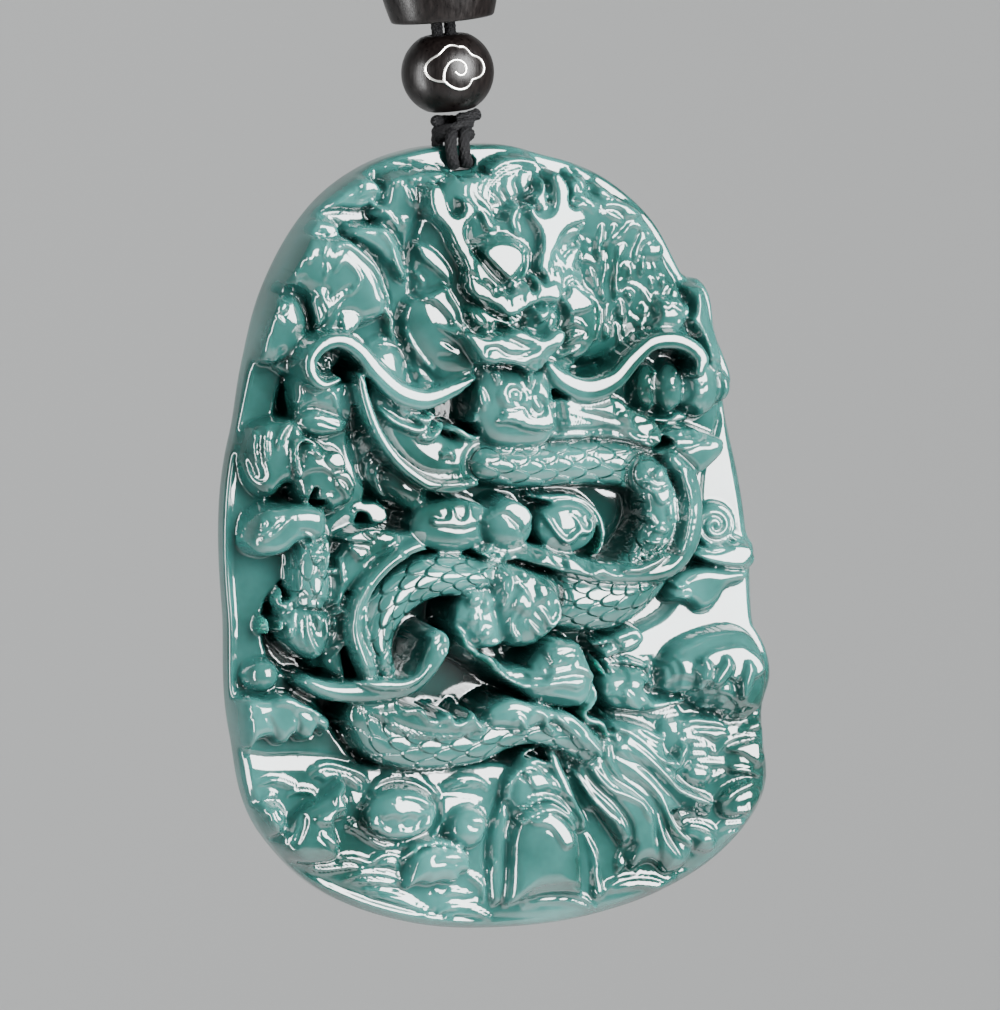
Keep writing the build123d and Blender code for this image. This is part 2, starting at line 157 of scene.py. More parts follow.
class Relief:
    """Heights of the carved front above the flat back, on a square grid."""

    def __init__(self, half_x, half_z):
        self.x = np.arange(-half_x, half_x + cell, cell)
        self.z = np.arange(-half_z, half_z + cell, cell)
        self.height = np.full((len(self.z), len(self.x)), slab)
        self.scale_lay = np.zeros((3, len(self.z), len(self.x)))

    def window(self, low, high):
        """Rows and columns of the grid between two corners."""
        i0, i1 = np.searchsorted(self.x, (low[0], high[0]))
        j0, j1 = np.searchsorted(self.z, (low[1], high[1]))
        return slice(max(j0 - 1, 0), j1 + 1), slice(max(i0 - 1, 0), i1 + 1)

    def near(self, line, reach, closed=False):
        """For grid places near a line: distance, side, run along it and the line's own columns there."""
        if closed:
            line = np.concatenate([line, line[:1]])
        low, high = line[:, :2].min(0) - reach, line[:, :2].max(0) + reach
        rows, cols = self.window(low, high)
        gx, gz = self.x[cols], self.z[rows]
        shape = (len(gz), len(gx))
        best = np.full(shape, np.inf)
        side = np.zeros(shape)
        run = np.zeros(shape)
        extra = np.zeros((line.shape[1] - 2,) + shape)
        lengths = np.hypot(*np.diff(line[:, :2], axis=0).T)
        starts = np.concatenate([[0], np.cumsum(lengths)])
        for k in range(len(line) - 1):
            a, b = line[k], line[k + 1]
            if lengths[k] < 1e-9:
                continue
            i0, i1 = np.searchsorted(gx, (min(a[0], b[0]) - reach, max(a[0], b[0]) + reach))
            j0, j1 = np.searchsorted(gz, (min(a[1], b[1]) - reach, max(a[1], b[1]) + reach))
            px = gx[i0:i1][None, :] - a[0]
            pz = gz[j0:j1][:, None] - a[1]
            dx, dz = (b[:2] - a[:2]) / lengths[k]
            t = np.clip(px * dx + pz * dz, 0, lengths[k])
            ox, oz = px - t * dx, pz - t * dz
            distance = np.hypot(ox, oz)
            part = (slice(j0, j1), slice(i0, i1))
            nearer = distance < best[part]
            best[part][nearer] = distance[nearer]
            side[part][nearer] = (px * -dz + pz * dx)[nearer]
            run[part][nearer] = (starts[k] + t)[nearer]
            share = t / lengths[k]
            for c in range(len(extra)):
                extra[c][part][nearer] = (a[2 + c] * (1 - share) + b[2 + c] * share)[nearer]
        return rows, cols, best, np.sign(side) * best, run, extra

    def place(self, rows, cols, inside, top, outside, foot, keep=False):
        """Sets a form into the surface and cuts the ground beside it down to its foot; keep only raises."""
        part = self.height[rows, cols]
        if keep:
            inside &= top > part
        cut = foot + moat_slope * outside
        beside = ~inside & (outside < moat_reach)
        part[beside] = np.minimum(part, np.maximum(cut, part - line_cut))[beside]
        part[inside] = top[inside]
        self.scale_lay[2][rows, cols][inside] = 0

    def bar(self, places, crest, drop=None, moat=0.4, full=2.0, scaled=None, keep=False):
        """A rounded bar along drawn places (u, v, half width, and a change of crest)."""
        places = [tuple(p) + (0.0,) * (4 - len(p)) for p in places]
        line = smooth_line(places)
        height = crest + line[:, 3]
        half = np.maximum(line[:, 2] / DRAWN_SCALE, 0.02)
        sink = bar_fullness * half if drop is None else drop
        x, z = to_plaque(line[:, 0], line[:, 1], height - seen_share * sink)
        line = np.column_stack([x, z, half, height])
        rows, cols, distance, side, run, (width, top) = self.near(line, half.max() + moat_reach)
        q = np.clip(distance / np.maximum(width, 1e-3), 0, 1)
        sink = bar_fullness * width if drop is None else drop
        inside = distance < width
        surface = top - sink * falling(q, full)
        self.place(rows, cols, inside, surface, distance - width, top - sink - moat, keep)
        if scaled is not None:
            length, wide = scaled
            for layer, value in enumerate((run / length, side / wide, np.clip((1 - q) * 5, 0, 1))):
                self.scale_lay[layer][rows, cols][inside] = value[inside]

    def dome(self, u, v, ru, rv, crest, drop, turn=0.0, moat=0.4, keep=False):
        """A rounded boss round a drawn point."""
        ra, rb = ru / DRAWN_SCALE, rv / DRAWN_SCALE
        cx, cz = to_plaque(u, v, crest - seen_share * drop)
        big = max(ra, rb) + moat_reach
        rows, cols = self.window((cx - big, cz - big), (cx + big, cz + big))
        dx = self.x[cols][None, :] - cx
        dz = self.z[rows][:, None] - cz
        c, s = math.cos(math.radians(turn)), math.sin(math.radians(turn))
        share = np.hypot((dx * c + dz * s) / ra, (dz * c - dx * s) / rb)
        surface = crest - drop * falling(np.clip(share, 0, 1))
        self.place(rows, cols, share < 1, surface, (share - 1) * min(ra, rb), crest - drop - moat, keep)

    def outlined(self, places, foot, crest):
        """A drawn closed outline on the plaque: a form's foot shows at its left, its crest at its right."""
        line = smooth_line(places, closed=True)
        along = np.roll(line, -1, axis=0) - np.roll(line, 1, axis=0)
        turn = np.sign(np.sum(line[:, 0] * np.roll(line[:, 1], -1) - np.roll(line[:, 0], -1) * line[:, 1]))
        faces_right = turn * along[:, 1] / np.maximum(np.hypot(*along.T), 1e-6)
        height = foot + (crest - foot) * (0.5 + 0.4 * faces_right)
        x, z = to_plaque(line[:, 0], line[:, 1], height)
        return np.column_stack([x, z])

    def patch(self, places, crest, drop=0.8, shoulder=0.8, moat=0.4, lean=(0.07, 0.07)):
        """A raised form with a drawn closed outline and rounded shoulders. lean is rise per mm in x and z."""
        line = self.outlined(places, crest - drop, crest)
        reach = max(shoulder, moat_reach)
        rows, cols, distance, _, _, _ = self.near(line, reach, closed=True)
        gx, gz = np.meshgrid(self.x[cols], self.z[rows])
        inside = np.zeros(gx.shape, bool)
        for (x0, z0), (x1, z1) in zip(line, np.roll(line, -1, axis=0)):
            if z0 == z1:
                continue
            crosses = (gz >= min(z0, z1)) & (gz < max(z0, z1))
            inside ^= crosses & (gx < x0 + (gz - z0) * (x1 - x0) / (z1 - z0))
        q = 1 - np.clip(distance / shoulder, 0, 1)
        mid = line.mean(0)
        surface = crest + lean[0] * (gx - mid[0]) + lean[1] * (gz - mid[1])
        outside = np.where(np.isfinite(distance), distance, reach + 1)
        self.place(rows, cols, inside, surface - drop * falling(q), outside, crest - drop - moat)

    def groove(self, places, depth, height):
        """A cut along drawn places (u, v, half width), in a surface about this high."""
        line = smooth_line(places)
        x, z = to_plaque(line[:, 0], line[:, 1], height)
        line = np.column_stack([x, z, np.maximum(line[:, 2] / DRAWN_SCALE, 0.01)])
        rows, cols, distance, _, _, (width,) = self.near(line, line[:, 2].max() + 0.05)
        q = np.clip(distance / np.maximum(width, 1e-3), 0, 1)
        self.height[rows, cols] -= depth * (1 - q**2) * np.clip(width / line[:, 2].max(), 0, 1)

    def clear_cord_path(self):
        """Keeps the rim flat where the cord bends over it into its hole."""
        across = self.x[None, :] + plaque_mid[0] - hole_place[0]
        up = self.z[:, None] + plaque_mid[2] - hole_place[1]
        along, height = (
            across * math.cos(stack_lean) + up * math.sin(stack_lean),
            up * math.cos(stack_lean) - across * math.sin(stack_lean),
        )
        beside = np.clip((cord_room[0] - np.abs(along)) / cord_room[2], 0, 1)
        above = np.clip((height + cord_room[1]) / cord_room[2], 0, 1)
        room = np.minimum(beside, above)
        room = room * room * (3 - 2 * room)
        self.height += (np.minimum(self.height, slab) - self.height) * room

    def polish(self, sigma):
        """Rounds every edge a little, as polishing does."""
        reach = int(3 * sigma / cell) + 1
        taps = np.exp(-0.5 * (np.arange(-reach, reach + 1) * cell / sigma) ** 2)
        taps /= taps.sum()
        for axis in (0, 1):
            margins = [(reach, reach) if a == axis else (0, 0) for a in (0, 1)]
            padded = np.pad(self.height, margins, mode="edge")
            size = self.height.shape[axis]
            self.height = sum(
                w * (padded[k:k + size] if axis == 0 else padded[:, k:k + size]) for k, w in enumerate(taps)
            )

    def softened(self, sigma):
        """A copy of the surface, blurred."""
        other = Relief(-self.x[0], -self.z[0])
        other.x, other.z, other.height = self.x, self.z, self.height.copy()
        other.polish(sigma)
        return other

    def at(self, x, z, field=None):
        """Height, or another field's value, at any places between the grid's own."""
        fx = np.clip((x - self.x[0]) / cell, 0, len(self.x) - 1.001)
        fz = np.clip((z - self.z[0]) / cell, 0, len(self.z) - 1.001)
        i, j = fx.astype(int), fz.astype(int)
        a, b = fx - i, fz - j
        h = self.height if field is None else field
        return (
            h[j, i] * (1 - a) * (1 - b) + h[j, i + 1] * a * (1 - b)
            + h[j + 1, i] * (1 - a) * b + h[j + 1, i + 1] * a * b
        )


def raised_scales(lay):
    """Overlapping scales from the body's own lay: each rises to its free round edge."""
    run, side, mask = lay
    height = np.zeros_like(run)
    for back in (0, 1):
        row = np.floor(run) - back
        share = (run - row) / 2
        beside = side - (row % 2) / 2
        width = 2 * np.abs(beside - np.round(beside))
        spread = share ** 2 + width ** scale_power
        edge = np.clip((1 - spread) / scale_edge, 0, 1)
        rise = (scale_foot + (1 - scale_foot) * share) * edge * edge * (3 - 2 * edge)
        height = rise if back == 0 else np.where(spread < 1, rise, height)
    return height * mask


def facet(r, places, crest, tilt=-0.04, drop=0.35, shoulder=0.2, moat=0.25):
    """A flat-topped form with crisp edges, tilted up to the light."""
    r.patch(places, crest, drop=drop, shoulder=shoulder, moat=moat, lean=(0.0, tilt))


def cuts(r, table, height, half=0.16, depth=0.4):
    """Fine engraved lines, each a row of drawn places."""
    for places in table:
        last = len(places) - 1
        line = [(u, v, half * (0.4 if k in (0, last) else 1.0)) for k, (u, v) in enumerate(places)]
        r.groove(line, depth, height)


def level(r, places):
    """The relief's present height under the middle of a row of drawn places."""
    u = sum(place[0] for place in places) / len(places)
    v = sum(place[1] for place in places) / len(places)
    height = 7.0
    for _ in range(3):
        x, z = to_plaque(u, v, height)
        height = float(r.at(x, z))
    return height


def plateaus(r, table, lift=0.4, tilt=-0.04, shoulder=0.1):
    """Flat-topped forms a little above whatever lies under them."""
    for places in table:
        facet(r, places, level(r, places) + lift, tilt=tilt, shoulder=shoulder)


def strand(r, places, half, crest, drop=0.5, moat=0.3, full=4.0):
    """A thin strand of one width that tapers at both ends."""
    last = len(places) - 1
    line = [(u, v, half * (0.35 if k in (0, last) else 1.0)) for k, (u, v) in enumerate(places)]
    r.bar(line, crest, drop=drop, moat=moat, full=full)


def threads(r, table, half=0.2, lift=0.3, full=4.0):
    """Thin strands a little above whatever lies under them."""
    for places in table:
        strand(r, places, half, level(r, places) + lift, drop=0.3, moat=0.2, full=full)


def carve_hollows(r):
    """The cut-back ground behind the dragon, deepest inside the coils."""
    r.patch([(37.5, 16.5), (44, 17.2), (50, 17), (57, 18.6), (62.5, 22), (66, 27), (69, 31.5), (71.5, 38),
             (71, 43), (69.5, 47), (69, 55), (66, 61), (60.5, 64.5), (60, 70), (60.5, 76), (57, 77.5),
             (50, 77), (42, 78.5), (37, 77.5), (33.5, 73), (30.5, 68.5), (27, 65.5), (26.6, 60.5),
             (29.5, 56), (26.8, 49), (27.5, 41), (28.6, 37), (32.5, 32), (37, 27), (38, 20.5)], 2.7, drop=0,
            shoulder=0.5, moat=0)


def tilt_ground(r):
    """Turns the ground left of the dragon, and the ground inside its coils, a little to the left and down."""
    x, z = r.x[None, :], r.z[:, None]
    _, high_z = to_plaque(23.4, 35.0, slab)
    high_x, low_z = to_plaque(30.0, 71.0, slab)
    right_x, right_z = to_plaque(62.0, 55.0, slab)
    # right of the coils, turned down
    under = np.clip((x - right_x + 1.5) / 1.5, 0, 1) * np.clip((right_z - z) / 2.0, 0, 1)
    r.height += under * 0.045 * (right_z - z) * np.clip((z - right_z + 12.0) / 3.0, 0, 1)
    # left of the dragon, turned left
    between = np.clip((high_z - z) / 2.0, 0, 1) * np.clip((z - low_z) / 2.0, 0, 1)
    beside = np.clip((high_x - x) / 1.5, 0, 1) * between
    r.height += beside * 0.11 * (x - high_x)
    # inside the coils, turned down and gently waved
    sunk = np.clip((slab - 0.2 - r.height) / 0.6, 0, 1)
    r.height += sunk * (0.03 * x + 0.0225 * z + 0.22 * np.sin(z * 0.55))


def carve_body(r):
    """The dragon's scaled body, coil by coil, with the fin along its back."""
    # first coil, left of the head: soft fin lobes outside, then the tube and its ridge
    for u, v, turn in ((37, 42, 70), (37.6, 45.3, 62), (38.7, 47.8, 50), (40.4, 48.8, 40)):
        r.dome(u, v, 3.2, 1.9, 6.6, turn=-turn, drop=2.2)
    r.bar([(38.6, 36.5, 2.2), (39.3, 40, 2.3), (40.4, 42.8, 2.5), (42.3, 45.2, 2.7), (45, 46.3, 2.6),
           (48, 45.7, 2.4), (50, 44.8, 2)], 7.6, drop=1.5)
    r.bar([(38.2, 41, 0.1), (39.2, 42, 0.35), (40.4, 42.6, 0.35), (42, 43.1, 0.45), (43.4, 42.3, 0.1)], 8.5)
    r.bar([(39.7, 40.6, 0.08), (40.6, 41.3, 0.28), (41.2, 41.4, 0.1)], 8.5)
    r.bar([(41.4, 41.6, 0.1), (42.6, 42.1, 0.4), (43.9, 41.5, 0.15)], 8.7)
    r.bar([(42.2, 43.9, 0.1), (43.4, 43.7, 0.4), (44.6, 42.4, 0.2)], 8.7)
    r.bar([(44.6, 43.1, 0.1), (45.8, 43, 0.4), (47, 43.7, 0.4), (48.3, 43.8, 0.1)], 8.6)
    r.bar([(44.4, 45.6, 0.1), (45, 45.3, 0.3), (45.6, 45.7, 0.1)], 8.4, keep=True)
    r.bar([(36.1, 37.6, 0.55), (36.8, 40.6, 0.6), (37.9, 43.4, 0.65), (39.4, 45.7, 0.65), (41.2, 47.4, 0.65),
           (43.2, 48.6, 0.65), (45.4, 48.9, 0.65), (47.4, 48.4, 0.6), (49, 47.2, 0.55), (49.8, 45.6, 0.3)],
          9, drop=0.9, moat=0.25, full=4)
    r.groove([(37, 38.5, 0.1), (37.7, 41.2, 0.16), (38.9, 43.9, 0.16), (40.6, 46, 0.16), (42.6, 47.2, 0.16),
              (45, 47.4, 0.16), (46.6, 46.9, 0.08)], 0.35, 8)
    # neck tube under the chin
    r.bar([(48.6, 46.4, 2), (52, 46.7, 2.3), (56, 46.4, 2.4), (60, 46.2, 2.5), (63.5, 46.8, 2.4),
           (66, 48.6, 2.2)], 8.2, drop=1.7, full=1.6, scaled=(1.25, 1.5))
    # right-hand turn and the belly of the second coil
    r.bar([(64.8, 47.4, 2), (65.9, 49.6, 2.1), (66.2, 52, 2.2), (65.6, 54.8, 2.5), (64.4, 57.4, 3),
           (61.8, 59.7, 3.2), (58.6, 60.3, 3.2), (55, 60.2, 2.8)], 9, drop=1.9, full=1.6,
          scaled=(1.15, 1.35))
    r.patch([(65.4, 46.8), (66.8, 46.6), (67.4, 48), (67.7, 50.4), (67.6, 52.6), (66.6, 54.4), (65.4, 55.2),
             (64.4, 55), (64.8, 53), (64.8, 51), (64.4, 49), (64.6, 47.8)], 9.5, drop=0.8, shoulder=1.2,
            moat=0, lean=(0.1, 0.06))
    plateaus(r, (
        [(65.5, 47.3), (66.2, 46.8), (66.7, 46.9), (66.6, 47.7), (66, 48), (65.5, 47.8)],
        [(65, 48.8), (66, 49.1), (66.8, 48.7), (67.2, 49), (67.1, 50), (66.5, 50.6), (65.8, 50.2),
         (65.4, 49.3)],
        [(66.7, 50.5), (67.4, 50.3), (67.5, 51.5), (67.3, 52.1), (66.8, 51.7), (66.7, 51.1)],
        [(64.8, 51.2), (65.5, 51.8), (66, 52.6), (65.2, 52.2)],
        [(65.5, 53), (66.2, 52.4), (67, 53), (66.8, 53.4), (66, 53.3)],
        [(64.8, 54), (65.6, 54.1), (66.4, 54.1), (66.8, 53.8), (66.3, 54.4), (65.2, 54.4)],
    ))
    threads(r, (
        [(64.5, 48.3), (65, 48.1), (65.7, 48.5), (66.8, 48.4)], [(63.4, 56), (64, 55.5), (65, 55.5)],
    ))
    # second coil, left half: scaled arch
    r.bar([(54, 59.6, 2.4), (50.5, 58.6, 2.4), (47.5, 57.9, 2.2), (44.5, 57.7, 2.2), (41.8, 58.4, 2.3),
           (39.4, 60.2, 2.3), (38, 62.6, 2.1), (37.8, 65, 1.9), (38.6, 67.4, 1.4)], 9.2, drop=1.8, full=1.6,
          scaled=(1.15, 1.3))
    # fin band along the back of the turn and the arch
    r.bar([(67.4, 45.9, 0.8), (69, 48, 1.2), (69.4, 51, 1.3), (69, 54.2, 1.35), (67.2, 56.7, 1.2),
           (64.2, 57.4, 1.15), (60, 57.2, 1.15), (56, 56.2, 1.15), (52.2, 55.2, 1), (49, 54.6, 0.9),
           (45.6, 54.3, 0.85), (42.2, 54.6, 0.8), (39.4, 56, 0.85), (37.2, 58.2, 0.9), (36, 60.8, 0.9),
           (35.8, 63.4, 0.95), (36.6, 66, 1), (37.4, 68.2, 0.8)], 9.7, drop=1.3)
    r.groove([(66.4, 46.6, 0.1), (67.6, 48.6, 0.16), (67.9, 51.2, 0.16), (67.5, 53.8, 0.16),
              (66, 55.4, 0.1)], 0.3, 9.2)
    for places in (
        [(47.4, 54.4), (48.6, 55.3), (50.2, 55.8), (52, 56), (53.8, 56), (54.1, 55), (54.6, 55.1),
         (55.4, 55.9), (56.1, 56.7), (56.8, 56.9), (56.6, 56), (57.1, 55.6), (58, 56.3), (58.8, 57),
         (59.4, 57.3), (59.5, 56.5), (60.3, 56.6), (61.2, 57.2), (62.3, 57.7), (61, 57.7), (59, 57.6),
         (57, 57.3), (55, 56.8), (53, 56.4), (50.5, 56.2), (48.5, 55.7)],
        [(62.4, 56.8), (62.6, 57.3), (64, 57.3), (65.5, 56.8), (66.8, 55.9), (67.3, 55.4), (66.5, 55.6),
         (65, 56.2), (63.8, 56.7)],
        [(68, 46.7), (69, 46.7), (69.1, 48), (69.5, 49), (69.5, 51), (69.3, 52.6), (69, 54), (68.5, 55.4),
         (67.8, 55.2), (68.4, 54), (68.8, 52.4), (69, 50.6), (68.7, 49.2), (68.3, 48)],
    ):
        facet(r, places, 10.1, shoulder=0.1)
    threads(r, ([(67.2, 48), (67.7, 49.5), (67.8, 51), (67.7, 52.5), (67.2, 53.8), (66.3, 54.8)],),
            half=0.16)
    # left foot of the arch: ridge strands
    r.bar([(36.9, 58.6, 0.2), (35.9, 60.6, 0.35), (35.6, 63, 0.45), (36.2, 65.4, 0.55), (37.1, 67.4, 0.3)],
          10.1, keep=True)
    r.bar([(36.8, 60.8, 0.15), (36.7, 63, 0.25), (37.6, 65.6, 0.1)], 9.9, keep=True)
    r.bar([(38.3, 67.2, 0.2), (38.4, 65.9, 0.5), (39.1, 65, 0.1)], 9.6)
    # scaled haunch, its knee and the leg that runs down to the right
    r.dome(48.6, 62, 3.4, 3.2, 9.2, drop=1.4)
    for u, v in ((47.8, 61.6), (49, 60.4), (48.6, 63.6), (47.6, 60)):
        r.dome(u, v, 0.8, 0.6, 9.6, turn=40, drop=0.3, moat=0.1, keep=True)
    r.patch([(49.4, 57.2), (50.8, 56.6), (53, 57), (55.2, 58.4), (56.4, 60.2), (56.3, 62), (55.2, 63.8),
             (53.4, 64.9), (51.6, 65), (50.2, 63.8), (49.6, 61.6), (49.2, 59.4)], 10, drop=1.6, shoulder=2.4,
            lean=(0.08, 0.1))
    plateaus(r, (
        [(50.2, 58.4), (50.9, 57.6), (51.5, 58.2), (51.3, 59.4), (50.8, 59.9), (50.4, 59.2)],
        [(51.4, 60.4), (52.4, 58.8), (53, 59.6), (53.4, 60.8), (52.6, 61.4), (51.8, 61.2)],
        [(53.6, 58.6), (54.6, 58.4), (55, 59.4), (54.4, 60.2), (53.8, 59.6)],
        [(53.6, 61), (54.2, 60.6), (54.9, 61.4), (55.3, 62.2), (56, 61.2), (55.7, 59.8), (56.2, 60.4),
         (56.3, 61.8), (55.6, 62.8), (55, 62.9), (54.4, 62)],
        [(51.8, 57.2), (52.6, 57), (53, 57.7), (52.4, 58.4)],
        [(52.6, 61.8), (53.4, 62.4), (54.2, 63.2), (54.8, 63.7), (54, 63.8), (53.2, 63)],
        [(51.3, 61.2), (51.9, 61.2), (51.4, 62.2), (51.6, 63.2), (52.3, 64.2), (51.5, 64), (51, 62.8)],
    ), lift=0.35)
    threads(r, (
        [(50.6, 56.8), (51.4, 58), (51, 59.8), (50.6, 61)], [(51.6, 58.2), (52.3, 58.6), (53.4, 60.4)],
        [(53, 58.6), (53.6, 57.8)], [(53.4, 60.4), (54.2, 59.8), (55.2, 59.2)],
    ), half=0.14)
    threads(r, (
        [(47.4, 61.6), (48, 61.4), (48, 63), (47.6, 63.6)],
        [(47.6, 63.4), (48.2, 64.2), (49, 64.5), (50.2, 64.2)],
    ), half=0.18)
    r.patch([(45.6, 62.9), (46.6, 64), (47.6, 65.2), (48.8, 65.4), (50.2, 66), (51.2, 66.8), (52.6, 66.4),
             (54, 64.6), (56, 63.9), (58, 64.2), (59.2, 66), (59.9, 68), (59.6, 69.8), (58.2, 71), (56, 71),
             (53.6, 70.4), (51.4, 69), (49, 67.2), (46.8, 65.8), (45.4, 64.4)], 9.2, drop=2, shoulder=1.4,
            lean=(0.04, 0.09))
    facet(r, [(45.8, 62.9), (46.6, 63.4), (47.2, 64.6), (48.2, 65.3), (49.4, 65.8), (49.8, 66.6),
              (50.6, 67.4), (51.6, 68), (53, 68.3), (55, 68.2), (57, 67.9), (58.4, 67.8), (58.7, 68.4),
              (57.8, 69), (56.5, 68.7), (54.5, 68.9), (52.6, 68.9), (51, 68.2), (49.6, 67.1), (48.4, 65.9),
              (47, 65), (46.2, 63.7)], 9.7)
    threads(r, (
        [(54, 67.5), (55.5, 67.4), (57.5, 67.1), (59, 67.6)], [(54.4, 66.9), (56, 66.3), (58, 66.1)],
        [(55.4, 65.3), (56, 64.9), (57, 64.8)], [(55.8, 65.9), (57, 65.7), (58.2, 65.7)],
        [(54.6, 64.6), (55.5, 64.1), (56.8, 64)], [(57, 66.8), (58.5, 67), (59.6, 67.8)],
        [(58.3, 64.5), (58.8, 65.3), (59.3, 66.2), (59.7, 67)], [(49.8, 65.7), (50.3, 65.8), (50.7, 66.1)],
        [(50, 66.2), (50.4, 67), (51.4, 67.5), (52.4, 67.7)],
    ), half=0.24)
    strand(r, [(59.5, 68.6), (59.6, 69.6), (59.3, 70.5), (58.6, 71.5), (59.2, 72.2), (60.4, 72.6),
               (61.2, 74)], 0.45, 8.4, moat=0.2)
    # pale edge of the recess floor, then the centre cloud and the balls in front of the body
    r.patch([(53.2, 49.6), (54.5, 49.4), (56, 49.3), (57.8, 49.5), (59.2, 50.2), (60.3, 51.4), (60.8, 53),
             (60.6, 54.4), (60, 55.5), (59.2, 55.6), (59.7, 54.4), (59.7, 53), (59, 51.8), (57.8, 50.9),
             (56.4, 50.4), (54.8, 50.3)], 6.4, drop=0.5, shoulder=0.2, lean=(0, -0.05))
    r.dome(56.8, 52.8, 3.3, 2.7, 7.6, drop=1.3)
    plateaus(r, ([(54.4, 51.4), (55.2, 52), (55.8, 53), (56.4, 53.6), (56.8, 53.8), (57.3, 53.3),
                  (57.8, 52.8), (57.5, 51.8), (56.9, 51.3), (57.7, 51.7), (58.3, 52.4), (58.8, 52.9),
                  (59.2, 52.4), (58.8, 51.6), (59.5, 52.1), (59.5, 53), (59, 53.5), (58.2, 53.6),
                  (57.6, 54.2), (56.8, 54.5), (56, 54), (55.2, 53), (54.7, 52.2)],), lift=0.3)
    r.dome(45.4, 52.6, 4.6, 2.9, 7.6, drop=1.5)
    plateaus(r, ([(43.1, 51.9), (44.6, 51.9), (45.2, 50.6), (46, 52), (46.6, 51.4), (47, 50.3), (47.6, 51.8),
                  (48.8, 51.2), (49.4, 51.4), (48, 52.3), (46.2, 52.9), (44.6, 52.7), (43.2, 52.6)],),
             lift=0.2)
    r.dome(51, 52.6, 2.7, 2.7, 8.6, drop=1.8)
    plateaus(r, ([(48.4, 52.6), (49, 51.6), (50, 50.6), (51, 50.1), (52, 50.1), (53, 50.7), (53.4, 51.6),
                  (53.1, 52.6), (52.2, 53.4), (51.9, 52.6), (51.3, 52), (50.5, 51.4), (49.4, 51.6),
                  (48.8, 52.2)],), lift=0.05, shoulder=0.3)
    threads(r, ([(48.6, 54.6), (49.8, 55.2), (51.4, 55.3), (53.2, 54.7)],))
    # lower coil towards the tail: scalloped fin above, scaled tube below
    r.bar([(36.4, 71.6, 2), (38.4, 73.8, 2.5), (41.2, 74.6, 2.6), (44.4, 74.6, 2.6), (47.6, 74.2, 2.5),
           (50.4, 73.2, 2.2), (53.4, 72.8, 2), (56.4, 73.4, 2), (58.8, 74.8, 1.9)], 8.2, drop=1.8,
          scaled=(-1.35, 1.5))
    r.patch([(36, 71), (38.2, 70.2), (39.8, 69.8), (40.4, 70.5), (41.4, 70.7), (42.4, 70.5), (42.9, 71.4),
             (43.8, 72), (44.8, 71.3), (45.4, 71.2), (45.8, 72), (46.6, 71.6), (47.4, 71), (48.2, 72.2),
             (48.8, 73.1), (47, 73.5), (44.6, 73.6), (42, 73.4), (39.6, 72.6), (37.6, 71.8)], 9.1, drop=0.8,
            shoulder=0.8, moat=0.3)
    facet(r, [(40.2, 69.8), (40.3, 70.6), (40.8, 71), (42, 70.7), (42.7, 71.3), (43.2, 72.1), (44, 71.8),
              (44.8, 71.1), (45.3, 71.4), (45.5, 72.3), (46.2, 72.3), (47, 71.4), (47.5, 71), (47.6, 71.8),
              (48, 72.4), (48.8, 73.2), (48.2, 73.2), (47.2, 72.2), (46.4, 72.7), (45.3, 72.7), (44.8, 72.2),
              (43.4, 72.4), (42.6, 72), (41.8, 71.3), (40.6, 71.3), (40, 70.8)], 9.6, shoulder=0.1)
    r.bar([(38, 71.4, 0.1), (39.8, 72.8, 0.2), (42.4, 73.6, 0.2), (45.8, 73.6, 0.2), (47.2, 73.2, 0.1)], 9)
    r.patch([(48.4, 71.4), (49.4, 70.4), (51.2, 69.8), (53, 70.2), (55.4, 71), (57.4, 71.4), (58.8, 72.6),
             (60.2, 74.6), (60.6, 76), (59.4, 75.6), (57.8, 73.9), (56.2, 72.6), (54.6, 72.4), (52.6, 73.2),
             (50.6, 73), (49, 72.8)], 9.2, drop=1.2, shoulder=0.9)
    r.bar([(51.6, 72.2, 0.1), (52, 71.9, 0.25), (52.6, 72.6, 0.25), (52.9, 73.2, 0.1)], 9.5)
    r.bar([(53.2, 71.7, 0.1), (53.8, 71.3, 0.25), (54.7, 71.7, 0.25), (54.9, 72.6, 0.2), (55.7, 73.4, 0.1)],
          9.5)
    r.bar([(55.8, 71.8, 0.2), (57, 72.8, 0.25), (58.6, 73.9, 0.25), (60, 75.2, 0.3), (60.4, 75.9, 0.1)], 9.5)
    r.bar([(56.8, 72.9, 0.1), (58, 73.9, 0.2), (59.6, 75.6, 0.1)], 9.3)
    # long pointed limb that lies across the arch's left foot
    r.patch([(30, 68.2), (31, 67.6), (33, 68), (35.6, 68), (38, 67.6), (40, 67.6), (41.4, 66.2),
             (42.2, 64.2), (43.2, 63), (44.4, 63), (45.2, 64.2), (44.8, 65.8), (43.4, 68), (41.6, 69.6),
             (39, 70.4), (36.4, 70.6), (33.6, 70.4), (31.6, 69.6)], 9.3, drop=1.5, shoulder=1)
    r.bar([(36, 68.2, 0.1), (38.2, 68.5, 0.55), (40.6, 68.4, 0.5), (42, 67.7, 0.35), (42.9, 66.8, 0.15)], 10,
          drop=0.5, moat=0.1, full=4)
    r.dome(43.5, 63.8, 0.5, 0.4, 9.6, drop=0.3, moat=0.2)
    r.dome(44.6, 65.2, 0.5, 0.35, 9.6, turn=-50, drop=0.3, moat=0.2)


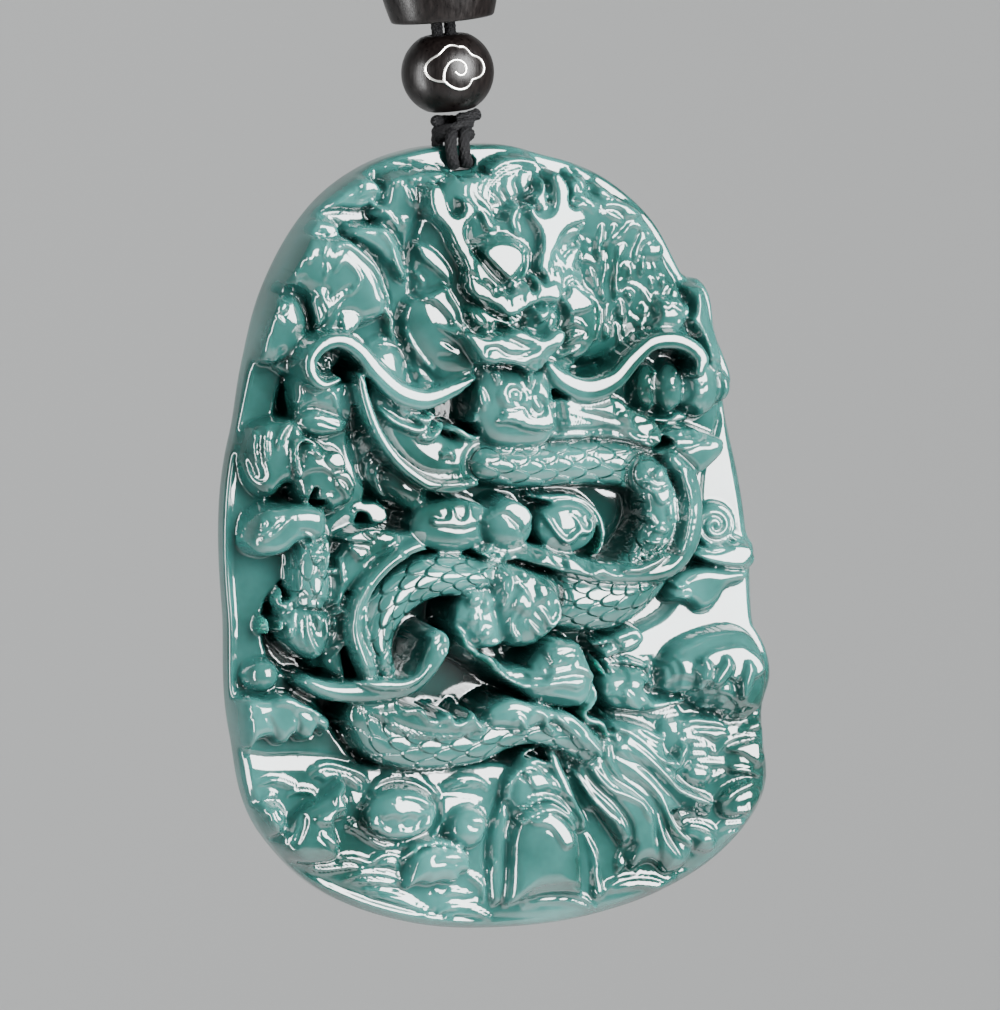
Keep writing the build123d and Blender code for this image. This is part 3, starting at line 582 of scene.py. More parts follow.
def carve_left(r):
    """The left column: two clawed paws, the scaled leg, its hair, the pearl and a scalloped cloud."""
    # bed that the column's forms lie on
    r.patch([(29.8, 38.4), (31.4, 37.4), (33.6, 37.6), (36, 40.4), (36.2, 45), (36.6, 49.4), (34.8, 55),
             (34, 61), (33.6, 66.4), (31.4, 67), (30.2, 64.4), (29.8, 58), (30.4, 52), (29.6, 45)], 5.6,
            drop=1, shoulder=2.4, moat=0, lean=(0.08, 0.03))
    # pale patch of the recess floor, then the cloud limb between the column and the coils
    r.patch([(35.3, 50.4), (36, 50.2), (38.2, 50.2), (38.8, 51), (38.7, 52.3), (36.8, 52.3), (36.6, 51.6),
             (35.8, 51.3), (35.1, 51)], 5.4, drop=0.3, shoulder=0.2, moat=0, lean=(0, -0.05))
    r.patch([(34.2, 53.9), (35.2, 52.9), (36.8, 52.6), (38.6, 52.8), (40.4, 53.2), (42, 53), (42.4, 54.2),
             (41, 55.2), (39, 56), (37, 57.4), (35.4, 58.6), (34.6, 60.4), (34.4, 63), (34.8, 66), (35, 68),
             (33, 67.4), (32.2, 65), (32, 62), (32.4, 59), (33.2, 56.4)], 7.9, drop=1.4, shoulder=1,
            lean=(0.06, 0.1))
    plateaus(r, (
        [(34.2, 54), (35.2, 53.3), (36.2, 53), (36.6, 53.6), (37.4, 54.2), (36.6, 54.3), (35.6, 54.3),
         (34.9, 54.2)],
        [(35, 54.5), (35.8, 54.7), (36.8, 54.9), (37, 55.4), (36, 56.1), (35.5, 55.6), (34.9, 54.8)],
        [(38.4, 54.8), (39.2, 54.2), (40, 54), (41.2, 54.3), (42, 54.2), (41, 54.9), (39.4, 55)],
        [(36.4, 53.1), (37.4, 52.8), (38.4, 53.2), (38.1, 53.6), (37.5, 53.3), (37.8, 53.9), (37.2, 53.9)],
    ))
    r.bar([(36.8, 56.4, 0.1), (37.8, 55.9, 0.25), (38.5, 55.5, 0.1)], 8.2)
    r.bar([(33, 57.3, 0.2), (33.9, 57.2, 0.4), (34.6, 58.3, 0.2)], 8.3)
    r.bar([(34, 55.8, 0.15), (34.2, 57, 0.3), (34.4, 58.2, 0.3)], 8.2)
    for a, b in (((34.3, 59.6), (33.3, 60.8)), ((34.9, 60.9), (33.2, 61.7)), ((33.9, 62), (33.2, 63.4)),
                 ((34.7, 63.6), (33.8, 64.8)), ((34.6, 63.8), (34, 65.4))):
        r.bar([(*a, 0.08), ((a[0] + b[0]) / 2 + 0.1, (a[1] + b[1]) / 2, 0.22), (*b, 0.08)], 8.2)
    # scaled leg
    r.bar([(31.6, 53.6, 1.6), (31.4, 56.4, 1.8), (31.4, 59.2, 1.9), (31, 61.4, 1.7)], 8.3, drop=1.8,
          scaled=(1.25, 1.4))
    r.patch([(31.2, 55.4), (31.8, 54.6), (32.6, 54.4), (32.4, 55.4), (32.3, 56.2), (31.9, 56)], 8.8,
            drop=0.3, shoulder=0.3)
    r.bar([(33, 54.2, 0.2), (32.9, 55.6, 0.3), (32.7, 56.8, 0.25), (32.2, 57.6, 0.1)], 8.9)
    # hair and claws under the leg
    r.patch([(28, 61.6), (29.4, 60.8), (31.2, 60.8), (33, 61.4), (33.2, 63.4), (32.6, 65.4), (31.4, 66.2),
             (29.6, 65.4), (28.2, 63.8)], 7.4, drop=1.6, shoulder=1)
    for places in (
        [(29.9, 61.2, 0.15), (29.3, 62.4, 0.4), (29.2, 63.8, 0.15)],
        [(30.2, 61.4, 0.15), (30.3, 63.2, 0.35), (31, 64.9, 0.3), (31.7, 65.8, 0.1)],
        [(30.7, 61.4, 0.12), (30.8, 63.2, 0.3), (31.4, 64.8, 0.3), (32.1, 65.6, 0.1)],
        [(31.5, 61.4, 0.2), (32, 62, 0.5), (32.1, 63, 0.15)],
        [(32.6, 61.9, 0.1), (32.7, 63.2, 0.25), (32.7, 64, 0.1)],
        [(28.4, 62, 0.1), (28.3, 63, 0.25), (28.4, 63.6, 0.1)],
        [(27.2, 62, 0.1), (27, 63, 0.25), (27.2, 63.6, 0.1)],
    ):
        r.bar(places, 7.9, drop=0.5)
    r.bar([(28.6, 59, 0.1), (28.2, 60.2, 0.25), (28.3, 61.4, 0.15)], 6.4)
    r.dome(28.9, 60.6, 0.5, 0.7, 6.6, turn=-10, drop=0.5)
    # upper paw: a fan of grooved toes
    r.patch([(24.2, 45), (24.6, 43.6), (25.4, 42.6), (26.6, 42), (28.2, 41.8), (29.6, 41.8), (30.6, 42.8),
             (30.8, 44.4), (30.4, 47), (30, 48.6), (28.8, 48.6), (27.8, 49.6), (26.4, 49.8), (25, 48.6),
             (24.4, 46.8)], 7, drop=2.4, shoulder=1.5, lean=(0.12, 0))
    plateaus(r, (
        [(26.5, 46), (26.3, 44.8), (26.6, 43.4), (27.2, 42.6), (27, 43.8), (26.9, 45.2), (26.9, 46.2)],
        [(27.7, 43.8), (28.2, 42.8), (29, 42.2), (29.4, 42.3), (28.7, 43.4), (28.2, 44.6), (27.9, 45.2)],
        [(29, 44.2), (29.4, 43), (29.8, 42.6), (30.4, 43.2), (30.2, 43.8), (29.8, 44.2), (29.6, 45.6),
         (30.2, 47.4), (30.4, 47.9), (30, 48), (29.4, 46.6), (29.1, 45.2)],
    ), lift=0.35)
    threads(r, (
        [(24.8, 44), (24.6, 45.2), (24.9, 46.2), (25.3, 47.4)], [(25.7, 43), (25.6, 44.5), (25.9, 46.5)],
    ))
    # limb behind the paws
    r.patch([(29.8, 41.4), (30.4, 40.6), (31.6, 40.4), (32.6, 41.2), (33.4, 41), (34.2, 41), (35.4, 41.8),
             (35.2, 42.8), (34, 43.4), (32.6, 43.8), (31, 43.6), (30, 42.6)], 7.7, drop=1, shoulder=0.8)
    r.bar([(31, 40.6, 0.15), (31.8, 41, 0.35), (32.2, 41.4, 0.2)], 8.2)
    r.bar([(34.3, 41, 0.15), (35, 41.2, 0.3), (35.4, 41.8, 0.15)], 8.2)
    # fist with three knuckles
    r.patch([(29.6, 45.6), (30, 44.6), (31, 43.9), (32.2, 44.3), (33.2, 45), (34.3, 45.3), (34.9, 46.4),
             (35.2, 47.2), (35.9, 48.4), (35.8, 49.8), (34.8, 50.8), (33.4, 51.4), (32, 51), (30.4, 50.4),
             (29.6, 49.2), (29.4, 47.4)], 8.6, drop=2, shoulder=1.5)
    plateaus(r, (
        [(31.2, 44.8), (31.8, 44.9), (32.4, 45.5), (32.1, 46), (31.6, 45.7)],
        [(32.5, 46), (33.2, 45.2), (34.2, 45.2), (34.8, 46.4), (34.6, 46.9), (33.6, 47), (33, 46.6)],
        [(33.3, 47.6), (34.4, 47.1), (35.2, 47.4), (35.8, 48.4), (35.6, 48.8), (35, 49.2), (34.8, 48.4),
         (34.2, 47.9)],
    ), lift=0.3)
    threads(r, (
        [(30.2, 47.8), (29.8, 46), (29.9, 44.6), (30.5, 44), (31.2, 44.1), (31.8, 44.6)],
        [(29.3, 48.2), (29.2, 49.2), (29.6, 49.8), (30.2, 49.7)], [(30.7, 48.6), (30.6, 49.6)],
        [(31.1, 48.4), (31.2, 49.4)], [(31.5, 50.1), (32.4, 49.9), (33.2, 49.4)],
    ), half=0.22)
    # lower paw with its grooves at the left
    r.patch([(25, 53.4), (25.4, 51.8), (26.6, 50.8), (28.2, 50.6), (29.6, 50.4), (31, 50.4), (32.6, 51),
             (33, 52), (32.8, 53.6), (31.8, 54.2), (30.4, 54.2), (29.2, 55.2), (27.6, 55.8), (26, 55.6),
             (25, 54.6)], 8.2, drop=1.8, shoulder=1.3)
    plateaus(r, (
        [(26, 53), (26.1, 52.2), (26.5, 52), (26.9, 52.3), (26.6, 52.8)],
        [(26.3, 54), (26.6, 53.4), (27.4, 53.3), (27.2, 54), (26.6, 54.2)],
    ), lift=0.3)
    threads(r, (
        [(26.9, 54), (28.1, 52.9), (29.5, 51.5)], [(25.9, 53.6), (26.8, 53.2), (27.6, 52.4), (28.4, 51.9)],
        [(30.2, 53.2), (31, 53.5), (31.5, 54.1)],
    ))
    # pearl
    r.dome(26.5, 67.6, 1.7, 1.7, 6.2, drop=1.7)
    # cloud with scallops
    r.patch([(23.9, 72.4), (23.8, 70.8), (25, 69.9), (26.8, 69.9), (28, 69.4), (29.4, 69.6), (30.6, 70.3),
             (32.2, 71.3), (33.2, 72.2), (32.8, 73.6), (31.9, 73.1), (31.4, 74), (30, 74), (29.6, 73.6),
             (28.9, 74.4), (27.6, 74.3), (27.2, 73.8), (26.2, 74.1), (25.6, 75), (24.4, 74.8)], 7, drop=1.5,
            shoulder=1.2)
    r.patch([(27.4, 70.6), (28.2, 69.9), (29.2, 69.8), (30.4, 70.4), (31.6, 71), (32.4, 71.5), (31.5, 71.9),
             (31, 71.2), (30, 71.1), (29.7, 72), (29.2, 71), (28.4, 70.7)], 7.4, drop=0.4, shoulder=0.3,
            moat=0.1)
    r.groove([(27, 72, 0.1), (26.8, 71.6, 0.2), (27.5, 72.9, 0.25), (27.8, 73.8, 0.2)], 0.4, 6.8)
    r.groove([(29.6, 71.4, 0.1), (29.9, 72.6, 0.25), (29.8, 73.6, 0.2)], 0.5, 6.8)
    r.groove([(31.3, 72, 0.1), (31.8, 72.8, 0.25), (31.6, 73.8, 0.2)], 0.5, 6.6)
    r.bar([(24.1, 73.2, 0.25), (24.2, 71.8, 0.4), (24.6, 71, 0.2)], 6.9, keep=True)
    r.bar([(24.9, 73.4, 0.1), (25, 72.2, 0.2), (25.6, 71, 0.1)], 6.9)


def carve_right(r):
    """The right edge: leaf strands, pointed fin, spiral cloud, hook, finger cloud and smooth lobes."""
    # leaves between whisker and neck, with the hair that ends them
    r.patch([(55.2, 40), (58, 39.8), (61.6, 39.6), (64, 41), (66.4, 42.2), (66.8, 43.6), (66, 45),
             (64.4, 46.4), (62.6, 47), (60.4, 46), (57, 44.6), (55.2, 44.2)], 8.8, drop=0.8, shoulder=0.8,
            moat=0.1, lean=(0, 0.09))
    plateaus(r, (
        [(58, 40.8), (60.2, 40.6), (61.4, 40.3), (61.6, 40.9), (61.5, 41.4), (61.8, 41.6), (61, 41.7),
         (60, 41.3)],
        [(62.2, 41.3), (63.2, 41.1), (64.2, 41.3), (63.6, 41.9), (63.4, 42.4), (62.8, 42.1), (61.9, 41.7)],
        [(63.8, 42.6), (65, 42.3), (65.9, 42.3), (66.4, 42.7), (65.6, 43.3), (65.1, 43.7), (64.4, 43.3)],
        [(56.2, 42.4), (57, 42.2), (58.5, 42.3), (59.7, 42.6), (59.2, 42.8), (57, 42.9), (56.2, 42.7)],
        [(55.5, 43.6), (56.5, 43.3), (57.5, 43.1), (58.5, 43.2), (59.2, 43.5), (58.5, 43.7), (57, 43.8),
         (55.8, 43.9)],
        [(59.2, 44), (59.8, 43.3), (60.4, 43), (60.6, 43.4), (60, 44), (59.6, 44.4)],
        [(61.1, 43.3), (62, 43.4), (62.7, 44), (62.6, 44.6), (62, 45), (61.5, 44.2)],
        [(64, 44.3), (65, 44.2), (65.6, 44.6), (65, 44.9)],
    ))
    threads(r, (
        [(55.5, 40.3), (57, 40.3), (59, 40.1), (61, 39.8)],
        [(55.6, 41.1), (57.5, 41.4), (59.5, 41.9), (61.5, 42.4), (63, 43.3), (64, 44), (65.2, 44)],
        [(55.8, 41.8), (57.5, 42), (59, 42.1)],
    ))
    # pointed fin
    r.patch([(63.6, 47), (64.8, 45.6), (66.4, 44.8), (67.4, 43.8), (66.8, 43), (68.2, 42.7), (70, 42.8),
             (71.4, 43.3), (72.8, 44), (72.8, 45.2), (71.8, 46.4), (70.6, 47.4), (69.6, 47.6), (69.2, 47.4),
             (68.4, 46.8), (66.6, 46.4), (65.2, 46.8)], 9.1, drop=1.4, shoulder=1.2, lean=(0, 0.12))
    plateaus(r, ([(66.8, 43.5), (67.2, 43.1), (68.5, 43), (70, 43.3), (70.6, 43.7), (71.4, 44.4),
                  (70.2, 44.5), (69, 45), (67.8, 45.3), (66.8, 45.7), (65.5, 46.5), (64.8, 46.3),
                  (65.5, 45.5), (66.5, 45), (67.4, 44.8), (67.6, 44.3), (67.2, 43.9)],), lift=0.5)
    # spiral cloud and its tail
    r.dome(71.8, 52.6, 2.3, 2.3, 6, drop=1)
    spiral = []
    for k in range(26):
        turn, reach = 0.5 * k, 2.05 * (1 - k / 27)
        spiral.append((71.8 + reach * math.cos(turn - 2.4), 52.6 + reach * math.sin(turn - 2.4), 0.17))
    r.groove(spiral, 0.5, 5.9)
    r.bar([(73.4, 53.8, 0.2), (74.4, 54.2, 0.35), (75.2, 54.6, 0.2)], 5.6)
    r.patch([(69, 60.4), (67, 60.2), (66.6, 59), (68, 57.4), (70.4, 56.6), (73, 56.8), (75.2, 56.6),
             (75, 58), (73.2, 58.8), (72.4, 60), (71.4, 61), (70, 61.2)], 6.4, drop=1.4, shoulder=1)
    r.bar([(67.6, 58.4, 0.15), (68.2, 58.7, 0.3), (68.8, 58.4, 0.1)], 6.6)
    r.bar([(67.9, 59.7, 0.2), (68.6, 59.5, 0.4), (69.3, 59.4, 0.15)], 6.6)
    r.bar([(69.8, 55.4, 0.4), (71.4, 55.6, 0.9), (73.4, 55.8, 1.2), (74.8, 55.9, 1.2)], 7, drop=0.9)
    plateaus(r, (
        [(69.7, 55.5), (71, 55.3), (72.5, 55), (73.3, 54.5), (74.5, 54.5), (75.5, 54.8), (75.6, 55.6),
         (74.8, 56.6), (73.5, 56.7), (72, 56.5), (70.8, 56.2)],
        [(67.6, 58.5), (68.3, 58.6), (69, 58.5), (68.5, 59), (67.8, 58.9)],
        [(68, 59.7), (68.8, 59.4), (69.5, 59.6), (69, 60), (68.3, 60)],
    ), lift=0.3)
    threads(r, ([(70.2, 54.9), (71.8, 55), (73.2, 54.7)],), lift=0.5)
    # finger cloud
    r.patch([(65.9, 69), (66.2, 67), (67.2, 65.2), (69, 64), (71.4, 63.2), (73.8, 62.9), (75.6, 63.6),
             (76.8, 65.2), (77.4, 67.4), (77.2, 70), (76.4, 71.8), (74.4, 72.4), (72, 72.2), (70.4, 71),
             (68, 69.8)], 7.8, drop=2.2, shoulder=2.6, lean=(0.05, 0.07))
    r.dome(68.4, 67.8, 2, 1.9, 8, turn=30, drop=0.5, moat=0, keep=True)
    r.dome(72.2, 69.2, 1.7, 1.6, 8.1, drop=0.5, moat=0, keep=True)
    plateaus(r, ([(69.6, 67.2), (70, 66.2), (70.8, 65.6), (71.8, 65.1), (73.2, 64.8), (74.4, 64.7),
                  (75.4, 65.2), (76.4, 66), (76.9, 67.2), (75.9, 68), (74.8, 67.6), (73.7, 68.3), (73, 67.8),
                  (72, 67), (71, 67), (70.2, 68)],), lift=0.5, tilt=-0.07)
    for places in (
        [(70.7, 66.2, 0.3), (71, 67, 0.7), (70.8, 68.2, 0.7), (70.4, 69, 0.4)],
        [(73, 66, 0.3), (73, 66.8, 0.75), (72.4, 67.8, 0.8), (71.6, 68.8, 0.4)],
        [(75.2, 66.5, 0.3), (75.3, 67.3, 0.65), (75, 68.6, 0.7), (74.8, 69.8, 0.4)],
    ):
        r.bar(places, 8.9, drop=0.5, moat=0.1)
    threads(r, (
        [(70.5, 71), (71.2, 71), (71.8, 71.6), (72.3, 72)], [(73, 71.9), (74, 71.3), (74.4, 70.8)],
        [(73.6, 72.1), (74.8, 72), (75.5, 71.6)],
    ), full=2)
    # hook and smooth lobes beside the paw
    r.bar([(59.8, 64.6, 0.3), (62, 63.9, 0.6), (63.6, 63.4, 0.7), (64, 64, 0.7), (62.6, 64.8, 0.75),
           (60.9, 65.4, 0.7), (60.4, 66.2, 0.6), (61, 67.2, 0.6), (62.4, 67.5, 0.5), (64.4, 67.7, 0.5),
           (65.2, 68.4, 0.3)], 6.9, drop=0.8)
    r.bar([(61.2, 66.4, 0.2), (63, 66.3, 0.35), (64.8, 66.8, 0.25)], 6.2)
    r.bar([(65.2, 66.6, 0.2), (65.4, 67.8, 0.3), (65.5, 69, 0.3)], 5.6)
    r.patch([(60.2, 68.2), (61.4, 67.6), (63.2, 67.5), (64.8, 68.2), (65.1, 69.4), (66, 70), (68.6, 70),
             (69.4, 70.4), (68, 70.8), (66, 71.4), (63.6, 71.4), (61.4, 71), (60.3, 70)], 7.4, drop=1.3,
            shoulder=1)
    plateaus(r, (
        [(62.4, 69.3), (62.8, 69.1), (63.2, 69.6), (63.7, 70), (63.3, 70.2), (62.7, 70)],
        [(64.3, 69.6), (65.4, 69.8), (66.6, 69.6), (67.4, 69.3), (68.2, 69.8), (69.2, 69.8), (68, 70.1),
         (66.4, 70.2), (65, 70.3), (64.4, 70)],
        [(64.3, 71.6), (66, 71.3), (67, 70.9), (68, 70.9), (68.2, 71.5), (69.2, 71.9), (68.2, 72.2),
         (67.4, 72.8), (66.8, 72.2), (65.6, 71.9)],
        [(60, 70.8), (60.8, 71.6), (62.2, 72.2), (62.8, 72.6), (61.4, 72.3), (60.2, 71.8)],
        [(69.5, 70.9), (70.6, 71), (71.4, 71.2), (72.2, 71.9), (71, 71.6), (70, 71.2)],
        [(65.1, 66.6), (65.5, 66.6), (65.8, 68.6), (65.6, 69.2), (65.2, 68.2)],
    ), lift=0.35, tilt=-0.08)


def carve_top_left(r):
    """The curl cloud, rim, round mane, lobes, hair and the small forms in the hollow at the upper left."""
    # smooth bed that the leaves beside the skull lie on
    r.patch([(31, 25), (33.4, 24.6), (35.4, 23.8), (37.4, 22.8), (38.6, 20.8), (41, 18.6), (44, 19),
             (44.4, 24), (44, 30), (43, 36), (40.6, 39), (37, 36.4), (34, 33.6), (30.6, 31), (28.6, 28)],
            6.6, drop=0.6, shoulder=1.2, moat=0, lean=(0.08, 0.1))
    r.patch([(26.4, 27.4), (28.6, 26.4), (31.6, 31), (34.4, 35.4), (31.6, 38), (28.4, 37.4), (26.2, 34.4)],
            5.4, drop=0.3, shoulder=1.2, moat=0, lean=(0.08, 0.08))
    r.patch([(36.6, 35), (38.6, 33.6), (41, 34.8), (43.6, 37.4), (45.8, 38.6), (43, 39.6), (40.2, 39),
             (38, 37.2)], 7.2, drop=0.3, shoulder=0.8, moat=0, lean=(0.08, 0.1))
    threads(r, (
        [(38.4, 35.1), (39.2, 35.8), (39.8, 36.4)], [(40.1, 35.8), (40.9, 36.5)],
        [(41, 36.7), (42, 37.3), (43.2, 37.9)],
    ), half=0.3)
    # curl cloud and the pieces of ground beside it
    r.patch([(30.8, 20.6), (31.8, 19.9), (32.8, 19), (33.9, 18.4), (35, 18), (36.5, 18.1), (37.8, 18.4),
             (38.4, 19), (38.4, 19.8), (37.2, 20.6), (37.2, 20.9), (36, 21.1), (34, 20.9), (32, 21.1),
             (31, 20.9)], 5.7, drop=1, shoulder=0.8, lean=(0.1, 0.1))
    plateaus(r, ([(35.7, 17.9), (36.5, 17.9), (37.5, 18.1), (38, 18.6), (38.1, 19.4), (37.2, 19.4),
                  (36.2, 19.8), (35.6, 19.8), (35.9, 19)],))
    threads(r, ([(32.7, 19.9), (32.6, 18.9), (33.3, 18.2), (34.2, 17.9), (35.1, 18.1), (35.6, 18.8),
                 (35.3, 19.5), (34.7, 19.6), (34.3, 19.2), (34.6, 18.7)],), half=0.22)
    for places in (
        [(30.5, 21.1), (32, 21.5), (33.5, 21.4), (34.5, 21.2), (35.5, 21.3), (36.2, 21.1), (36.6, 21.5),
         (37, 22.3), (36, 22.6), (35.2, 22.9), (34.9, 24), (34.2, 24), (34.2, 22.8), (33.8, 22.2),
         (32.8, 21.9), (31.5, 21.8), (30.6, 21.6)],
        [(28, 23.8), (29.5, 24), (29.2, 24.6), (28.2, 25)], [(26, 29.6), (27, 27.7), (28, 29.2)],
        [(28.5, 23), (29.2, 21.9), (30, 20.5), (29.6, 20.6), (28.8, 21.8)],
    ):
        facet(r, places, 4.4, drop=0.2, shoulder=0.1, moat=0.1)
    r.patch([(28.8, 22.8), (30, 22), (31.8, 22), (33.4, 22.3), (34, 22.9), (34, 23.9), (32.5, 23.8),
             (30.6, 23.7), (29.7, 23.9), (28.8, 24.6)], 5.8, drop=0.9, shoulder=0.6, lean=(0.1, 0.1))
    threads(r, ([(32.4, 23.2), (33, 23.4), (33.6, 23.5)],))
    # mane lobe left of the skull, with its spots and strokes
    r.patch([(38.6, 18.2), (39.6, 17.5), (41.4, 17.1), (43.6, 16.9), (44.8, 17.4), (43.4, 18.6),
             (42.6, 20.6), (41.2, 24), (40.6, 26.4), (40.2, 25), (39.4, 23.4), (38.2, 22.2), (37.4, 21.4),
             (38.4, 20.2), (38.6, 19)], 7.4, drop=1.2, shoulder=1, lean=(0.06, 0.12))
    plateaus(r, (
        [(39.2, 18.1), (40.1, 17.9), (40.2, 18.4), (39.4, 18.6)],
        [(40.9, 17.8), (42, 17.7), (41.6, 18.3), (41, 18.2)], [(42.9, 17.5), (44.9, 17.5), (43.8, 18.5)],
    ))
    threads(r, (
        [(37.7, 20.4), (38.5, 21.1), (39.5, 22.2), (40, 23.2)], [(40.1, 21.7), (40.4, 22.4), (40.8, 21.8)],
    ))
    # round mane behind the left whisker
    r.patch([(28.1, 26.2), (28.3, 25.2), (29.2, 24.4), (30.5, 23.9), (32, 23.8), (33.5, 24), (34.8, 23.8),
             (36, 24.6), (37.4, 26), (38.3, 27.4), (38.8, 28.8), (39.3, 30.4), (38.6, 31.6), (37, 32.4),
             (34, 33.4), (32.4, 33.6), (31.6, 32), (31.4, 30.4), (30.4, 29.4), (28.9, 28.6), (28.2, 27.4)],
            8, drop=1.8, shoulder=1.6, lean=(0.1, 0.1))
    plateaus(r, (
        [(33.5, 25), (34.2, 24.4), (35, 24.3), (36, 25), (37.2, 26), (38.1, 27.2), (38.6, 28.5), (39.2, 30),
         (39, 30.4), (38.6, 29.3), (38.1, 28.1), (37.3, 26.8), (36.1, 25.7), (35.2, 24.9), (34.5, 24.8),
         (33.8, 25.1)],
        [(31.5, 29.7), (31.8, 29.1), (32.5, 28.9), (33, 29.2), (32.7, 29.8), (33.1, 30.1), (34, 29.4),
         (35, 28.9), (34.8, 29.5), (33.8, 30.6), (32.8, 31.8), (32.2, 33), (32, 33), (31.7, 31.5),
         (31.4, 30.3)],
        [(34, 31.4), (35.4, 31.2), (36.2, 32), (35.6, 33.2), (34.4, 33.2)],
    ))
    threads(r, (
        [(30, 25.3), (29.4, 26.2), (29.3, 27), (29.7, 27.5), (30.1, 26.8)],
        [(30.8, 25.6), (31.1, 26.2), (31.6, 25.2)], [(33.1, 24.1), (32.6, 25), (32.5, 26.2)],
        [(32.7, 26.2), (32.8, 27.2), (32.6, 28)], [(29.8, 28.4), (30.5, 27.8)],
        [(33.6, 27.3), (34, 26.5), (34.5, 26.1), (35.2, 26.5), (35.9, 27.5), (36.1, 28.1), (35.6, 29),
         (34.8, 29.6)],
    ))
    # lobe between the round mane and the skull
    r.patch([(35, 23.5), (35.3, 23), (36.2, 22.7), (37.8, 22.7), (38.8, 22.8), (39.6, 23.8), (40.2, 25.2),
             (40.7, 26.8), (41, 27.8), (40.6, 28.3), (40, 27.9), (39.5, 27), (38.6, 26.4), (37.6, 25.2),
             (36.4, 24.4)], 8.2, drop=1, shoulder=0.6, lean=(0.1, 0.1))
    plateaus(r, ([(37.9, 23.2), (38.4, 22.9), (39, 23.4), (39.4, 24.3), (39.7, 25.5), (40.2, 26.8),
                  (40.6, 27.8), (40.3, 28), (39.8, 27.3), (39.4, 26.2), (39.2, 25.1), (38.7, 24.2),
                  (38, 23.5)],))
    strand(r, [(38.6, 30.8), (39.2, 32.2), (39.1, 33), (39.9, 34)], 0.3, 8)
    # lobe at the left rim
    r.patch([(25.4, 30.4), (26.4, 29.8), (28, 29.6), (29.4, 29.6), (30.4, 30.6), (31, 32.4), (30.6, 34.4),
             (29.4, 35.8), (27.4, 36.6), (25.6, 35.8), (25, 34), (25, 32)], 6.6, drop=1.6, shoulder=2,
            lean=(0.12, 0.08))
    plateaus(r, ([(27.5, 30.8), (28.4, 30.1), (29, 30.6), (28.7, 31.3), (27.9, 31.5)],))
    threads(r, (
        [(25.9, 30.6), (25.5, 32.4), (25.4, 34.8)], [(27.2, 33.5), (26.8, 34.4), (26.6, 35.3)],
        [(26.8, 31.6), (27.5, 31.4), (28.5, 32.5)], [(28.3, 35), (27.6, 36.2)],
    ))
    # small forms in the hollow under the whisker
    r.patch([(29.6, 37.2), (31.4, 36.2), (33.6, 38.4), (35.8, 37.6), (36.2, 40), (35.6, 42.2), (33.4, 41.6),
             (31.4, 41), (29.8, 41.6), (29.2, 39.6)], 6.9, drop=1.2, shoulder=1, lean=(0.08, 0.1))
    threads(r, (
        [(30.1, 37), (30.2, 38.6), (30.2, 39.8), (29.7, 40.5)], [(31.2, 38.8), (31.6, 39.8)],
        [(32.7, 39.7), (33.3, 39.3), (33.6, 40), (33.9, 40.9)],
        [(33.9, 38.8), (34.8, 38.5), (35.2, 38.9), (34.8, 39.6)], [(32.9, 35.8), (33, 37), (33.6, 37.7)],
    ), half=0.28)


